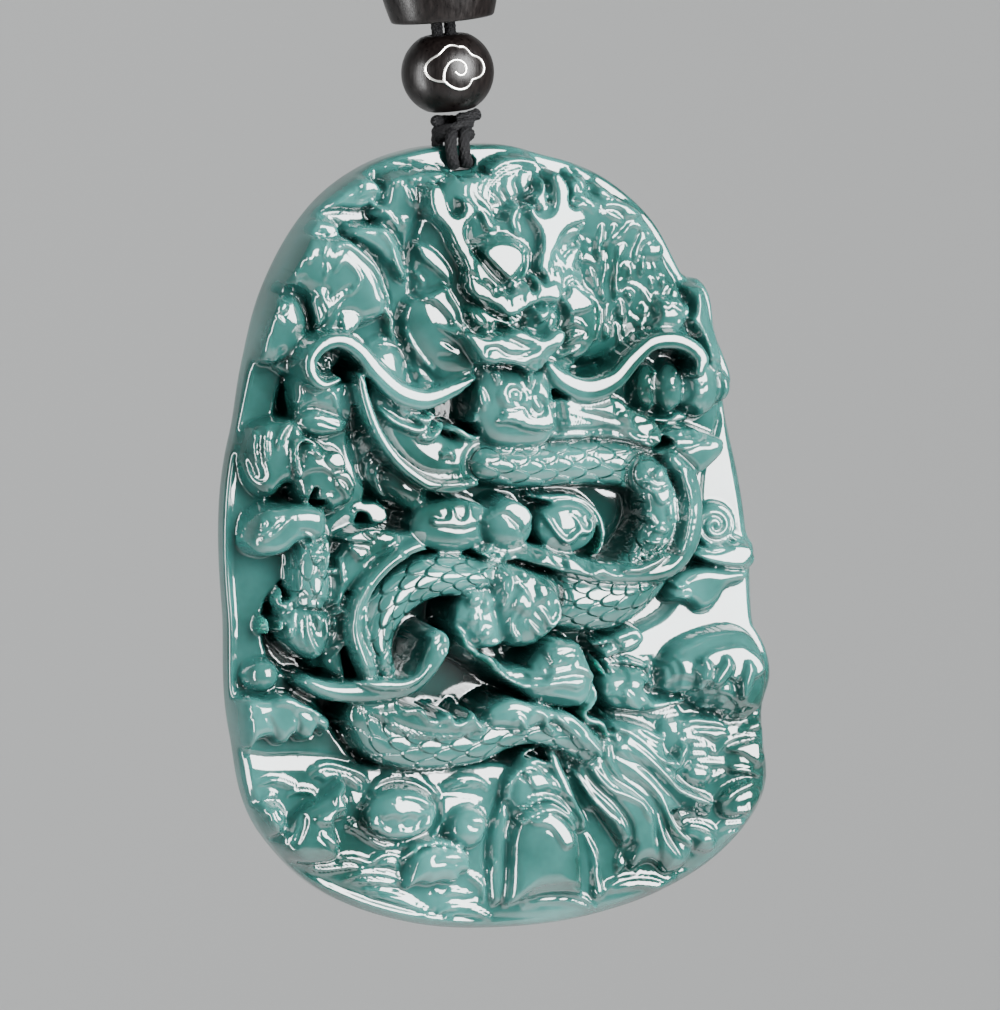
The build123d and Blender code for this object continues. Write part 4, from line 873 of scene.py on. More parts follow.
def carve_head(r):
    """The dragon's head: skull, fan, antlers, brow, gem, eyes, muzzle, jaw and whiskers, back to front."""
    # skull, a smooth shield turned down and left so that it stays dark
    r.patch([(41.2, 24), (42.6, 20.4), (45, 17.6), (48, 17), (53, 18), (56.4, 20), (58.2, 23.6), (58.6, 28),
             (59.8, 32), (58.6, 35.6), (55.6, 38.4), (48.6, 38.4), (45, 36.8), (42.2, 33.4), (41, 28.6)],
            8.7, drop=1.8, shoulder=2.6, moat=0, lean=(0.1, 0.09))
    # leaves and hair drawn over the temples
    plateaus(r, (
        [(41.7, 24.4), (43.2, 24.9), (44.4, 26), (45.2, 27.4), (44.9, 28.6), (44.3, 27.8), (43, 26.6),
         (42.1, 25.8)],
        [(58.8, 26.7), (59.3, 26.8), (59.6, 27.5), (59.8, 28.5), (60, 29), (59.6, 28.7), (59.2, 28),
         (58.8, 27.5)],
        [(56.6, 25.8), (57.2, 25.2), (58, 24.8), (58.5, 24.4), (58, 25.4), (57.2, 25.8), (56.8, 26.2)],
        [(56.3, 24.1), (57, 23.4), (58.2, 23.1), (58.6, 23.4), (57.6, 23.8), (56.8, 24.4)],
    ), lift=0.35)
    threads(r, (
        [(40.5, 18.8), (40.9, 19.8), (41.3, 20.6)], [(41.4, 19), (41.6, 20), (41.8, 20.8)],
        [(41.8, 18.7), (42.5, 20), (43.2, 21.2)], [(41.5, 27.2), (42.2, 28), (42.5, 28.8)],
        [(41.8, 29.2), (42.4, 29.3), (43, 29)], [(56, 24), (57, 23.2), (58, 22.9), (58.8, 22.6)],
        [(56.2, 24.8), (57.5, 24.1), (58.5, 23.8), (59, 24.2), (59.2, 24.6)],
        [(56.1, 25), (57.5, 24.9), (58.2, 24.3)], [(56.8, 26.2), (57.2, 26.8), (57.5, 27.6), (57.4, 28.2)],
        [(57.8, 26.2), (58.4, 25.8), (59, 25.9), (59.6, 26.3), (60, 27)],
    ), half=0.17)
    # left cheek, round and turned down
    r.patch([(40.2, 32.2), (40.6, 30.4), (42.2, 29.6), (44.2, 30.2), (46.2, 32.2), (47.6, 34.8), (48, 37),
             (46.6, 38.4), (44.4, 38.4), (42.2, 36.8), (40.8, 34.6)], 9.1, drop=1.6, shoulder=2.6, moat=0.4,
            lean=(0.16, 0.14))
    strand(r, [(40.6, 32.8), (41.4, 34.6), (42.6, 36.2), (43.6, 37.2)], 0.18, 8.5, drop=0.4)
    cuts(r, [[(43.6, 34), (44.6, 34.3), (45.5, 35)], [(43.9, 35.6), (45.2, 35.6)]], 8.6)
    # right cheek
    r.patch([(56, 30.4), (56.6, 28.8), (57.4, 28), (58.6, 28.8), (59.8, 30), (60.2, 32), (60, 34),
             (58.8, 35.6), (57, 36), (56, 34), (56.2, 32)], 9.2, drop=1.2, shoulder=1.2, moat=0.4,
            lean=(0.05, 0.08))
    strand(r, [(56.2, 30.2), (56.6, 28.5), (57.3, 27.9), (58.4, 28.8), (59.7, 29.9), (60.1, 31.8),
               (59.8, 34)], 0.22, 9.5)
    facet(r, [(56.1, 30.1), (56.7, 29.4), (57, 28.5), (57.6, 28.5), (58.5, 29.2), (59.4, 30), (59.4, 30.7),
              (58.4, 31.2), (57.4, 31.4), (56.9, 31.8), (56.7, 30.8)], 9.7)
    strand(r, [(56.7, 32.7), (57.5, 32.1), (58.7, 32.8)], 0.24, 9.6)
    strand(r, [(56.7, 34.2), (57.4, 33.6), (58.6, 33.3)], 0.26, 9.5)
    strand(r, [(56, 35.7), (57.2, 35.1), (58.2, 34.6)], 0.3, 9.2)
    # left cheekbone and the fold that runs to the nose
    facet(r, [(42.4, 29.9), (43.3, 29.3), (44.8, 28.7), (45.3, 29.7), (45.9, 30.8), (46.3, 31.6),
              (46.4, 32.7), (45.2, 32.6), (44.9, 31.9), (44.2, 31), (43.4, 30.3)], 9.5)
    facet(r, [(43.9, 32.6), (45, 32.8), (45.6, 32.4), (46.3, 32.8), (46.8, 33.3), (47.6, 33.5), (48.8, 33.6),
              (49.6, 33.8), (49.1, 34.5), (48.5, 34.9), (48.3, 35.5), (48, 36), (47.4, 35.4), (46.8, 34.7),
              (46, 34.1), (45, 33.4)], 10)
    # jaw, tongue and teeth
    r.patch([(47.4, 38), (48, 36.8), (50, 36.8), (53, 37.2), (54.8, 36.8), (55.4, 38.6), (55.8, 41),
             (55.9, 43), (54.8, 44.5), (52, 44.9), (49.6, 44.6), (48.2, 43.6), (47.3, 41.6), (47.1, 39.6)],
            9, drop=1.3, shoulder=1.5, lean=(0.03, 0.12))
    facet(r, [(49.8, 42.2), (50.4, 41.3), (50.1, 40.5), (49.8, 39.4), (50.3, 38.4), (51, 38), (51.8, 38.3),
              (52.6, 39.1), (53.2, 39.5), (53.6, 38.7), (53.9, 38), (55, 39.1), (55.1, 40.4), (55.5, 41.4),
              (55.6, 42.5), (54.8, 43), (52.8, 42.9), (51.4, 42.4)], 9.6, tilt=-0.02)
    cuts(r, [
        [(51, 39.7), (51.1, 39.1), (51.7, 38.9), (52.3, 39.4), (52.1, 40), (51.5, 40.2), (51, 39.8)],
        [(50.2, 39.6), (50.5, 40.8), (51.2, 40.9), (52.5, 40.7), (53, 41.5), (53.8, 41.9)],
        [(53, 39.7), (53.3, 40.8), (53.9, 41.4), (54.5, 41.2), (54.3, 40.3), (53.5, 39.5)],
    ], 9.6, half=0.24, depth=0.5)
    facet(r, [(47.9, 38.7), (48.4, 38.8), (48.9, 39.8), (48.8, 40.6), (48.4, 41), (47.9, 39.9)], 9.1)
    facet(r, [(47.3, 41.3), (47.7, 41.4), (47.7, 42.5), (47.4, 42.5)], 8.7)
    # fan above the gem: two rims and its scales
    facet(r, [(47.2, 18.9), (47.5, 18.2), (48.6, 16.9), (49.8, 16), (51.5, 15.6), (53.5, 15.7), (54.2, 16.3),
              (55, 17.6), (55.2, 19.4), (53.6, 21.2), (50, 22.3), (48.8, 21.6), (48.4, 20.3)], 6.9, drop=0.8,
          shoulder=0.4, tilt=-0.02)
    cuts(r, [
        [(48.4, 20), (48.6, 18.7), (49.5, 17.4), (50.7, 16.6), (52.2, 16.4), (53.6, 16.6)],
        [(48.9, 20.4), (49.1, 19), (50, 17.8), (51.1, 17.2), (52.4, 16.9), (53.4, 17.1)],
        [(49, 19), (49.7, 19.6), (50.3, 20.4), (50.6, 21.6)],
        [(50.4, 17.7), (50.1, 18.8), (50.6, 19.8), (51, 20.6)],
        [(52, 17), (51.5, 18.2), (51.8, 19.2), (51.2, 20.4)],
        [(53.2, 17.2), (53.2, 18.4), (52.4, 19.4), (51.4, 20.2), (50.6, 21.4)],
        [(48.9, 20.7), (49.6, 20.4), (50.4, 20.6)],
    ], 6.8, half=0.26, depth=0.45)
    # troughs each side of the fan, with two pale leaves
    r.patch([(46.6, 22.4), (47.4, 21.4), (49.4, 22.2), (51, 21.4), (53.2, 20.4), (53.8, 22.6), (53.8, 25.4),
             (53.2, 28.2), (51.4, 28.4), (48.4, 26.2), (46.8, 24.4)], 8.5, drop=0.6, shoulder=0.8, moat=0.1,
            lean=(0.12, 0.1))
    facet(r, [(48, 20.9), (48.7, 21.3), (49.4, 22.3), (49.7, 23), (48.8, 23.2), (48.3, 22.4)], 8.9)
    facet(r, [(50.7, 21.7), (51.3, 20.8), (52.2, 20.3), (52, 21.2), (51.8, 22), (51.9, 23), (52.1, 23.7),
              (51.4, 23.3), (50.9, 22.5)], 9)
    # antlers, flat topped with forked ends
    facet(r, [(43, 19), (43.4, 18.6), (44.3, 18.7), (44.8, 19.7), (45.1, 20.9), (45.5, 21.7), (46, 21.6),
              (46.3, 20.9), (46.2, 20), (47.2, 20.2), (47.8, 21.2), (47.5, 22), (46.8, 22.6), (46.6, 23.2),
              (46.8, 24.1), (47.4, 25.1), (48, 25.9), (49.5, 27.9), (50.7, 28.9), (51.2, 29.8), (51.3, 31),
              (50.6, 31.5), (49.8, 31.2), (49.5, 30.6), (49.2, 31.1), (48.3, 30.6), (47.4, 29.9),
              (46.7, 28.9), (46.7, 27.4), (46.2, 26), (45.4, 24.7), (44.9, 23.5), (44.2, 22.5), (43.4, 21.7),
              (43, 20.4)], 10.5, tilt=-0.04)
    facet(r, [(55.2, 17.5), (56, 17.1), (56.7, 17.8), (57.2, 18.8), (57.2, 20), (57.4, 20.7), (58.3, 20.8),
              (58.9, 21.6), (58.7, 22.3), (57.5, 22.6), (56.6, 23.1), (56.1, 23.9), (55.7, 24.8),
              (55.3, 25.6), (55.6, 27), (55.9, 26.7), (56.4, 27.9), (56.4, 28.9), (56.1, 29.8), (55.2, 30.3),
              (54.2, 30.5), (53.2, 30.3), (52.6, 29.8), (52.3, 29.8), (52, 31), (51.3, 31.4), (51.2, 30),
              (51.4, 29), (52.2, 28.3), (52.9, 28.2), (53.1, 29.1), (53.4, 29.6), (53.4, 28.8), (53.2, 27.4),
              (54, 27.9), (54.4, 28.4), (54.4, 27.6), (53.7, 26.9), (53.9, 25.6), (54.1, 24.4), (53.9, 23.2),
              (53.3, 22.2), (52.8, 21.2), (53.2, 20.3), (54, 21.2), (54.8, 21.1), (55.2, 20.3),
              (55.2, 18.8)], 10, tilt=-0.03)
    facet(r, [(53.2, 19.7), (53.9, 19), (54.2, 17.6), (54.7, 18.2), (55, 19.4), (54.8, 20.8), (54.2, 21.2),
              (53.6, 20.6)], 9.2)
    # brow, one flat mass with flame-like notches above the eyes
    facet(r, [(47.1, 27.6), (48.2, 28.4), (49.1, 28.6), (49.6, 29.6), (50.2, 29), (50.7, 29.7), (51.3, 29.2),
              (51.9, 28.6), (52.3, 29.3), (52.9, 28.5), (53.5, 29.2), (53.9, 27.5), (54.5, 28.5),
              (55.7, 28.2), (56.3, 29.5), (55.7, 30.4), (53.9, 30.6), (52.6, 31.1), (51.4, 31.8),
              (50.1, 31.6), (48.9, 30.9), (47.6, 29.9), (46.8, 28.6)], 10.6, drop=0.5)
    cuts(r, [
        [(49.2, 28.7), (49.6, 29.9)], [(50.9, 29.7), (51, 30.6)], [(52.2, 29.3), (52.3, 30.2)],
        [(53.5, 29.2), (53.5, 29.9)],
    ], 10.6, half=0.15, depth=0.5)
    cuts(r, [
        [(55.1, 26), (55.1, 26.9), (55.4, 27.7)], [(55, 17.9), (55, 19.4), (55.1, 20.6)],
    ], 9.9, half=0.2)
    # gem in its frame
    r.dome(50.5, 26.2, 2.7, 2.4, 9.3, drop=0.5, moat=0.1, keep=True)
    facet(r, [(48.1, 25), (49, 24.2), (50.3, 23.9), (51.6, 24.3), (52.4, 25.2), (52.5, 26.4), (51.9, 27.4),
              (51, 28.2), (50, 27.4), (49.2, 26.6), (48.5, 25.8)], 10.3, drop=0.6, shoulder=0.2, tilt=-0.05)
    strand(r, [(47.4, 25.1), (48.6, 24.1), (49.7, 23.7), (51.2, 23.9), (52.8, 24.9)], 0.16, 9.7, drop=0.3)
    strand(r, [(52.9, 25.3), (52.8, 26.6), (52.3, 27.8), (51.3, 28.6)], 0.2, 10, drop=0.3)
    # eyes under the brow, and the bridge of the nose
    r.patch([(46.4, 31), (47.4, 30.6), (48.6, 31), (49.6, 31.8), (49.8, 33), (48.6, 33.5), (47.2, 33.1),
             (46.5, 32.2)], 9.7, drop=0.6, shoulder=0.8, moat=0.3, lean=(0.2, 0.15))
    r.patch([(52.4, 32), (52.9, 31.1), (54.2, 30.6), (55.2, 30.8), (55.9, 31.6), (55.6, 32.8), (54.6, 33.5),
             (53.4, 33.4), (52.6, 32.8)], 9.9, drop=0.6, shoulder=0.8, moat=0.3, lean=(0.2, 0.15))
    facet(r, [(47, 31.2), (47.8, 31.3), (48.7, 32.2), (48.3, 32.8), (47.4, 32.3)], 10.4, drop=0.5, moat=0.1)
    facet(r, [(53.5, 31), (54.2, 31.1), (55, 30.6), (55.1, 31.4), (54.4, 32.3), (53.8, 32.2)], 10.7,
          drop=0.6, moat=0.1)
    strand(r, [(44.8, 28.6), (45.3, 29.8), (46, 30.9), (46.4, 32.3), (47.3, 33.4)], 0.2, 10, drop=0.3)
    strand(r, [(52.6, 32.8), (53.3, 33.4), (54.1, 33.6), (54.8, 33.1), (55.2, 32.3)], 0.22, 10.5, drop=0.3)
    strand(r, [(49.6, 31.9), (50.6, 32.3), (51.6, 32.2), (52.5, 31.6)], 0.26, 10.3, drop=0.3)
    # muzzle, nose and the dark band of the nostrils
    facet(r, [(46.2, 33.4), (47.4, 33.3), (48.6, 33.8), (50.2, 33.5), (51.8, 32.9), (53, 33.3), (54.2, 33.8),
              (55.2, 33.1), (56.2, 32.9), (56.8, 33.4), (56.3, 34.8), (55.3, 35.9), (54.6, 37), (53.4, 37.3),
              (52, 36.7), (50.2, 36.6), (48.6, 36.6), (47.6, 35.6), (46.8, 34.4)], 12, drop=1.2,
          shoulder=0.25)
    cuts(r, [
        [(48.6, 35.8), (48.8, 35.1), (49.7, 34.8), (50.8, 35.5), (52, 35.6), (53.2, 35.2), (54, 34.9)],
        [(50, 34.4), (50.7, 33.9), (51.7, 34.2), (52.6, 34.6), (53.6, 34.3)],
    ], 12, half=0.2, depth=0.5)
    facet(r, [(49.4, 37.2), (50.2, 37.2), (50.2, 37.9), (49.9, 38.6), (49.6, 37.9)], 9.8)
    facet(r, [(52.6, 37.2), (53.5, 37.2), (53.5, 38), (53.1, 38.7), (52.8, 38)], 9.8)
    # whiskers
    r.bar([(55, 36.6, 0.6), (56.4, 38.1, 1.15), (58.9, 39, 1.35), (61.4, 38.1, 1.25), (63.4, 35.9, 1.1),
           (65.3, 34.3, 1), (67.4, 34, 1), (69.2, 34.6, 1), (70.3, 35.8, 0.95), (70.1, 37.2, 0.7)], 9.5,
          drop=0.75, full=2.8)
    r.bar([(47.4, 37.9, 0.4), (45.4, 39, 0.9), (42.7, 40, 1.15), (40.2, 39.4, 1.15), (37.9, 37.4, 1.1),
           (36.1, 35.2, 1), (34.4, 34.2, 0.95), (32.6, 34.5, 0.95), (31.3, 35.9, 0.9), (31.3, 37.5, 0.8),
           (32.4, 38.6, 0.65), (34, 38, 0.4)], 9.4, drop=0.75, full=2.8)


def carve_top_right(r):
    """Mane strands, leaves, smooth bumps, the fin and the three-part cloud at the upper right."""
    r.patch([(56.6, 18), (58.4, 17.6), (60.4, 18.6), (61.6, 19.6), (64, 20.8), (65.2, 22.4), (66.4, 24.2),
             (67, 26.2), (68.4, 28.6), (69.4, 31.6), (69.6, 34), (66, 33.4), (62, 35.6), (58, 36), (57, 30),
             (56.6, 24)], 6.9, drop=1.4, shoulder=1.8, moat=0, lean=(-0.02, 0.12))
    r.dome(66.9, 31.4, 2.5, 1.9, 8, turn=0, drop=1, moat=0.1)
    r.dome(65.4, 25, 1.4, 1.1, 7.2, turn=10, drop=0.6, moat=0.2)
    r.dome(59.4, 18.6, 0.7, 0.75, 6.4, drop=0.4, moat=0.1)
    plateaus(r, (
        [(57.1, 16.4), (58, 16.5), (58.8, 17), (59.6, 17.7), (59, 18), (58.2, 18), (57.6, 17.2)],
        [(60.2, 18.6), (61, 19), (62, 19.8), (61.2, 19.8), (60.2, 19.8), (59.6, 19.2)],
        [(60.2, 20.2), (61.2, 20), (62.8, 20.3), (63.6, 20.8), (64.2, 21.3), (63.4, 21.7), (62.6, 21.6),
         (62.1, 20.9), (61.4, 20.6), (60.4, 20.8)],
        [(60.1, 22.3), (60.5, 22.4), (60.5, 23.6), (60.4, 25), (60.4, 26.2), (60, 26.2), (59.6, 25.2),
         (59.5, 24.2), (59.8, 23.2)],
        [(61.6, 24.6), (62, 24.3), (62.6, 24.2), (62.8, 24.6), (62.5, 25.3), (62.1, 26), (62, 27),
         (61.9, 28.2), (62, 29.2), (61.7, 30), (61.4, 29), (61.3, 27.8), (61.5, 26.2)],
        [(63.2, 25.2), (63.6, 24.2), (64, 23.2), (64.6, 23.1), (65, 23.7), (65.8, 24.2), (64.9, 24),
         (64.2, 24.6), (64, 25.6), (63.7, 26.4), (63.4, 26)],
        [(64.1, 25.8), (64.5, 25.7), (64.7, 26.3), (64.6, 27), (64.2, 27.5), (63.9, 26.7)],
        [(65.3, 26.1), (65.9, 26.6), (66, 27.1), (65.5, 26.9)],
        [(65, 27.7), (65.5, 28.2), (65.5, 28.7), (65.1, 28.4)],
        [(66.2, 27.6), (66.8, 27.9), (66.8, 28.4), (66.4, 28.8), (66, 28.2)],
        [(67.4, 28.6), (67.9, 28.8), (68.2, 29.3), (67.6, 29.7), (67, 29.4)],
        [(65.8, 29.6), (66.6, 29.8), (67.4, 30), (68, 29.9), (68.6, 30.2), (68.9, 30.7), (68.6, 31.1),
         (68, 30.7), (67.3, 30.3), (66.9, 30.6), (66.3, 30.2)],
        [(62.7, 28.9), (63.1, 29), (63.5, 29.5), (63.2, 30), (62.6, 29.5)],
        [(63.1, 30.6), (63.5, 31.6), (64, 32), (64.7, 31.9), (64.9, 31.6), (64.6, 32.4), (64.2, 33),
         (63.8, 32.4), (63.3, 31.6)],
        [(61.8, 30), (62.3, 30), (62.6, 31), (62.6, 31.9), (62, 31.8), (61.6, 31.2)],
        [(60.6, 32.3), (61, 32.4), (61.2, 32.9), (60.9, 33.8), (60.4, 33.5), (60.3, 32.9)],
        [(62.2, 32.8), (62.8, 32.8), (62.8, 33.2), (62.2, 33.2)],
        [(65.2, 32.4), (65.9, 33), (65.4, 33.2), (65.1, 32.9)],
    ), lift=0.45)
    threads(r, (
        [(57.5, 17.2), (58, 17.9), (58.4, 18.8), (57.9, 19)],
        [(57.2, 19.8), (57.4, 20.5), (58.3, 20.4), (59, 20.7), (59.8, 21.3)],
        [(57.4, 19.6), (58.4, 19.7), (59.1, 20.1), (59.7, 20.8)],
        [(60.1, 21.3), (61, 21.3), (61.8, 21.7), (62.3, 22)], [(61.7, 22.2), (61.3, 23), (60.8, 24.1)],
        [(61.3, 23.9), (62, 23.7), (62.7, 22.9), (63.2, 22.3), (63.9, 22.4), (64.5, 22.9)],
        [(60.4, 24.6), (60.6, 26.2), (60.4, 27.6), (60.2, 28.6), (60.4, 29.5), (60.9, 30.4)],
        [(59.8, 30.4), (60.1, 31.6), (60, 32.6), (59.8, 33.8)], [(60.7, 30.2), (60.7, 31.4), (60.4, 32.6)],
        [(62.1, 26.6), (62.6, 26.4), (63, 26.6), (63.1, 27.4), (62.7, 28.1), (62.2, 28)],
        [(62.2, 28.7), (62.8, 28.2), (63.4, 28.3), (64.2, 28.8), (64.8, 29.6), (65.2, 30.6), (65, 31.6),
         (64.8, 32.2)],
        [(64, 30.3), (64.6, 30.6), (64.8, 31.2), (64.3, 31.3), (64, 30.8)],
        [(61.6, 32), (61.8, 32.6), (61.9, 33.6), (62.2, 34.3), (62.6, 34.6), (63, 34.3)],
        [(66.1, 29.2), (66.8, 28.8), (67.1, 28.2)], [(69.3, 30.3), (69.2, 31), (68.7, 31.6), (68, 31.9)],
        [(64.5, 21.7), (65, 22.3)],
    ))
    cuts(r, (
        [(65.2, 26.2), (65.7, 26.8), (66.1, 27.2), (66.8, 27.8), (67.5, 28.4), (67.9, 29)],
        [(59.2, 19.5), (59.8, 19.7), (60.1, 20.1)], [(61.9, 29.8), (61.8, 30.8), (61.2, 31.8)],
    ), 6.8)
    # fin on the bulge of the right edge
    r.patch([(68.4, 28.5), (69.4, 28.3), (70.6, 28.6), (71.2, 30), (71.6, 31.8), (72.3, 34), (72.9, 36.4),
             (73.3, 38.2), (73, 39.6), (71.8, 40.2), (71.2, 38), (70.6, 35.4), (69.4, 33.4), (68.8, 32),
             (69, 30.4)], 6.9, drop=1.4, shoulder=1.2, lean=(0.04, 0.08))
    plateaus(r, ([(69.8, 29.2), (70.1, 29), (70.4, 29.5), (70.5, 30.6), (70.4, 31.8), (71.2, 34),
                  (71.8, 35.5), (72.3, 36.8), (72.4, 37.6), (72.1, 38.3), (71.7, 37.2), (71.3, 35.6),
                  (70.6, 33.8), (70, 32.8), (69.2, 31.9), (69.7, 31)],), lift=0.6)
    # three-part cloud in the hollow under the whisker, with the floor's pale edge below it
    r.dome(72.3, 38.6, 1.2, 1.6, 6.4, drop=1.6)
    r.dome(70.2, 38.8, 2.2, 2.9, 7.2, drop=1.6)
    r.dome(64.9, 38.7, 1.5, 2.5, 6.6, drop=1.5)
    r.dome(67.2, 38.8, 1.5, 2.7, 7.1, drop=1.5)
    for u, v, turn in ((65.8, 37.3, 40), (65.5, 38.8, -30), (67.8, 37.2, 80), (67.5, 38.7, 0),
                       (70.3, 38.4, 15), (70.3, 39.3, 10)):
        r.dome(u, v, 0.42, 0.16, 7.4, turn=turn, drop=0.2, moat=0.1, keep=True)
    r.patch([(63.3, 40.4), (64.4, 41.2), (65.6, 41.6), (66.8, 41.7), (67.5, 41.2), (68, 41), (68.9, 41.4),
             (69, 41.8), (67.4, 42.3), (65.4, 42.1), (64.2, 41.5)], 5.6, drop=0.5, shoulder=0.3,
            lean=(0, -0.06))


def carve_bottom(r):
    """Waves, cloud balls and the mountain along the bottom."""
    r.patch([(23.6, 75.6), (27, 75.6), (31, 75.6), (36, 76.4), (40, 76.6), (45, 76.8), (50, 76.4), (60, 79),
             (66, 86), (68, 89), (60, 91.4), (50, 92.4), (42, 91.6), (36, 90), (30, 87.2), (26.4, 83.6),
             (24.4, 80)], 4.3, drop=0.5, shoulder=1.6, moat=0, lean=(0.03, 0.04))
    threads(r, (
        [(26, 78.5), (27.2, 78.1), (28.4, 78.4), (28.9, 78.9)], [(28, 78), (29, 78.6), (29.6, 78.8)],
        [(28.8, 79.6), (30, 79.2), (31.2, 79.4), (31.6, 80)], [(26.3, 80.1), (27, 79.6), (27.6, 79.7)],
        [(24.5, 78.8), (24.9, 79.2), (25.2, 80)],
        [(31, 77.3), (32, 76.7), (32.8, 76.5), (34.2, 76.8), (36, 77.5), (36.8, 78.2)],
        [(38.5, 77.4), (40, 77.2), (42, 77.8), (43.4, 78.8)],
        [(37, 79.4), (38.2, 78.2), (40.2, 77.8), (42.4, 78.5), (43.6, 79.6), (44, 80.2)],
        [(37, 79.9), (38.2, 79), (40, 78.6), (42, 79.1), (43.2, 79.9)],
        [(44.6, 78.6), (46.2, 78), (48, 78.3), (48.9, 79.1)], [(45, 79), (46.4, 78.5), (47.8, 78.8)],
        [(37.4, 84.2), (39.6, 84.5)], [(40, 84.9), (41.6, 84.6), (43.2, 83.8)],
        [(30.4, 86.2), (31.4, 87), (33, 87.1), (34.8, 86.9), (36.4, 87), (37.4, 86.9)],
        [(33.8, 86.2), (35, 86), (36.5, 86.4), (37, 86.5), (38, 85.9), (39.2, 85.7), (40.2, 86.2),
         (40.7, 86.8)],
        [(34.7, 88.1), (36, 87.6), (38.2, 87.6), (39.8, 88.1), (40.3, 88.8)],
        [(36.5, 89.2), (38, 89.3), (40, 89.9), (42.9, 91.4)],
        [(36.9, 89.7), (39, 90.1), (41, 90.8), (42.6, 91.6)],
        [(46.9, 87.8), (47.9, 88.5), (48.4, 89.2), (48.4, 90.4)],
        [(43.9, 91.6), (45, 91.1), (46.8, 91.2), (48.2, 91.8), (49.2, 92.3)],
        [(44.6, 91.9), (46.4, 91.6), (48, 92.1)],
        [(60.2, 90.1), (61.4, 88.9), (63.2, 88.3), (65.2, 88.3), (66.6, 88.8), (67.6, 89.2)],
    ), half=0.26, lift=0.5, full=2)
    plateaus(r, (
        [(31.2, 77.7), (32.2, 77.1), (33.4, 77.2), (35, 77.6), (36, 78.6), (36, 79), (35, 78.4), (34, 77.9),
         (33.2, 77.9), (32.5, 78.3), (32, 77.9)],
        [(35, 79.6), (36, 79.8), (36.4, 80.6), (36, 81.4), (36.2, 82.8), (37, 83.8), (38, 84.5),
         (39.8, 84.9), (38.4, 85), (37, 84.4), (35.6, 83.4), (34.6, 83), (34.8, 82.4), (35.4, 82),
         (35.3, 81), (35, 80.4)],
        [(37.6, 86.7), (38.6, 86.1), (39.6, 86.2), (39.8, 87.1), (39, 86.8)],
        [(35.2, 88.3), (37.5, 88), (39.6, 88.4), (39.7, 88.8), (37.5, 88.7)],
        [(44.2, 80), (45.6, 79.8), (47, 80), (48.2, 80.4), (48, 80.8), (46.8, 80.8), (45.8, 81.2),
         (45, 82.4), (44.8, 84.4), (44.4, 84.2), (44.2, 82.6), (43.8, 83.6), (43, 84), (43.8, 82.6),
         (44, 81.2)],
        [(61, 89.6), (62.6, 88.8), (64.4, 88.6), (66.4, 88.9), (67.2, 89.1), (66.2, 89.4), (64.6, 89.2),
         (62.8, 89.3)],
        [(61.8, 87.8), (62.6, 85), (63.4, 86.4), (64.2, 87.8), (63, 86.8)],
    ), lift=0.5, tilt=-0.1)
    # breaking wave and ball at the left
    r.patch([(27.8, 85), (28.8, 82.6), (30.2, 81), (32, 80), (33.2, 78.8), (34.2, 78), (35, 78.9),
             (34.8, 80), (35.2, 80.8), (35, 81.8), (34, 82.2), (33.9, 82.9), (34.2, 84), (34.5, 85),
             (34, 86.2), (32, 86.6), (29.8, 86.4)], 6.8, drop=1.8, shoulder=2, lean=(0.05, 0.05))
    r.dome(27.1, 82.2, 1.8, 1.8, 6, drop=1.5)
    plateaus(r, (
        [(34.5, 79), (34.2, 79.6), (34.6, 80.3), (34.8, 81), (34, 81.2), (33.4, 81.8), (33.4, 82.4),
         (32.8, 82.6), (31.9, 82.4), (31.4, 82), (32.4, 81.4), (33.4, 80.8), (33.6, 79.6)],
        [(32.1, 83), (32.6, 83.6), (33.4, 84), (33.8, 84.6), (33.4, 84.8), (32.6, 84.2), (32, 83.6)],
        [(30.3, 81.8), (30.1, 82.6), (29.3, 84.4), (28.8, 84.6), (29.2, 83.4), (29.8, 82.4)],
        [(25.9, 81.4), (26.6, 81), (26.8, 81.9)], [(27.6, 80.8), (28.3, 81), (28.5, 82), (27.8, 81.6)],
    ), lift=0.3, tilt=-0.1)
    # oval cloud, ball and curl lobe
    r.dome(40.2, 81.6, 3.9, 2.7, 7, drop=1.6)
    for u in (37.6, 39.2, 40.9, 42.5):
        r.dome(u, 82.5, 0.9, 0.7, 6.7, drop=0.3, moat=0, keep=True)
    r.dome(47, 83, 2.15, 2.15, 6.9, drop=1.8)
    r.patch([(40.8, 87.2), (41.4, 85.8), (42.6, 85), (44.2, 84.8), (46, 85.2), (47.3, 86.4), (47.3, 87.4),
             (46.4, 87.6), (46.2, 88.5), (45.2, 88.6), (44.4, 88.5), (43.2, 88.8), (42.2, 88.6), (41, 89.2),
             (40.6, 88.4)], 6.7, drop=1.5, shoulder=1.6, lean=(0.04, 0.06))
    plateaus(r, (
        [(38.8, 80.2), (39.8, 79.7), (41.2, 79.6), (42.6, 80), (43.3, 80.7), (42.6, 80.8), (41.6, 80.3),
         (40.2, 80)],
        [(46.7, 82.2), (47.4, 81.8), (48.2, 81.8), (48.8, 82.6), (48.6, 83.6), (48.3, 83.2), (48, 82.8),
         (47.4, 82.8)],
        [(43.4, 86.3), (44.4, 85.6), (45.6, 85.4), (46.6, 85.8), (47, 86.3), (46.2, 86.2), (45.4, 86.5),
         (44.4, 86.3)],
        [(43, 89.3), (44.4, 89.6), (45, 89), (46.4, 89.4), (47.4, 89.8), (48, 90.1), (46.8, 89.9),
         (45, 89.8), (43.8, 89.8)],
    ), lift=0.25, tilt=-0.1)
    threads(r, ([(41, 86.2), (42, 85), (43.4, 84.6), (44.8, 84.6), (46.2, 85.2), (47.2, 86.2)],), full=2)
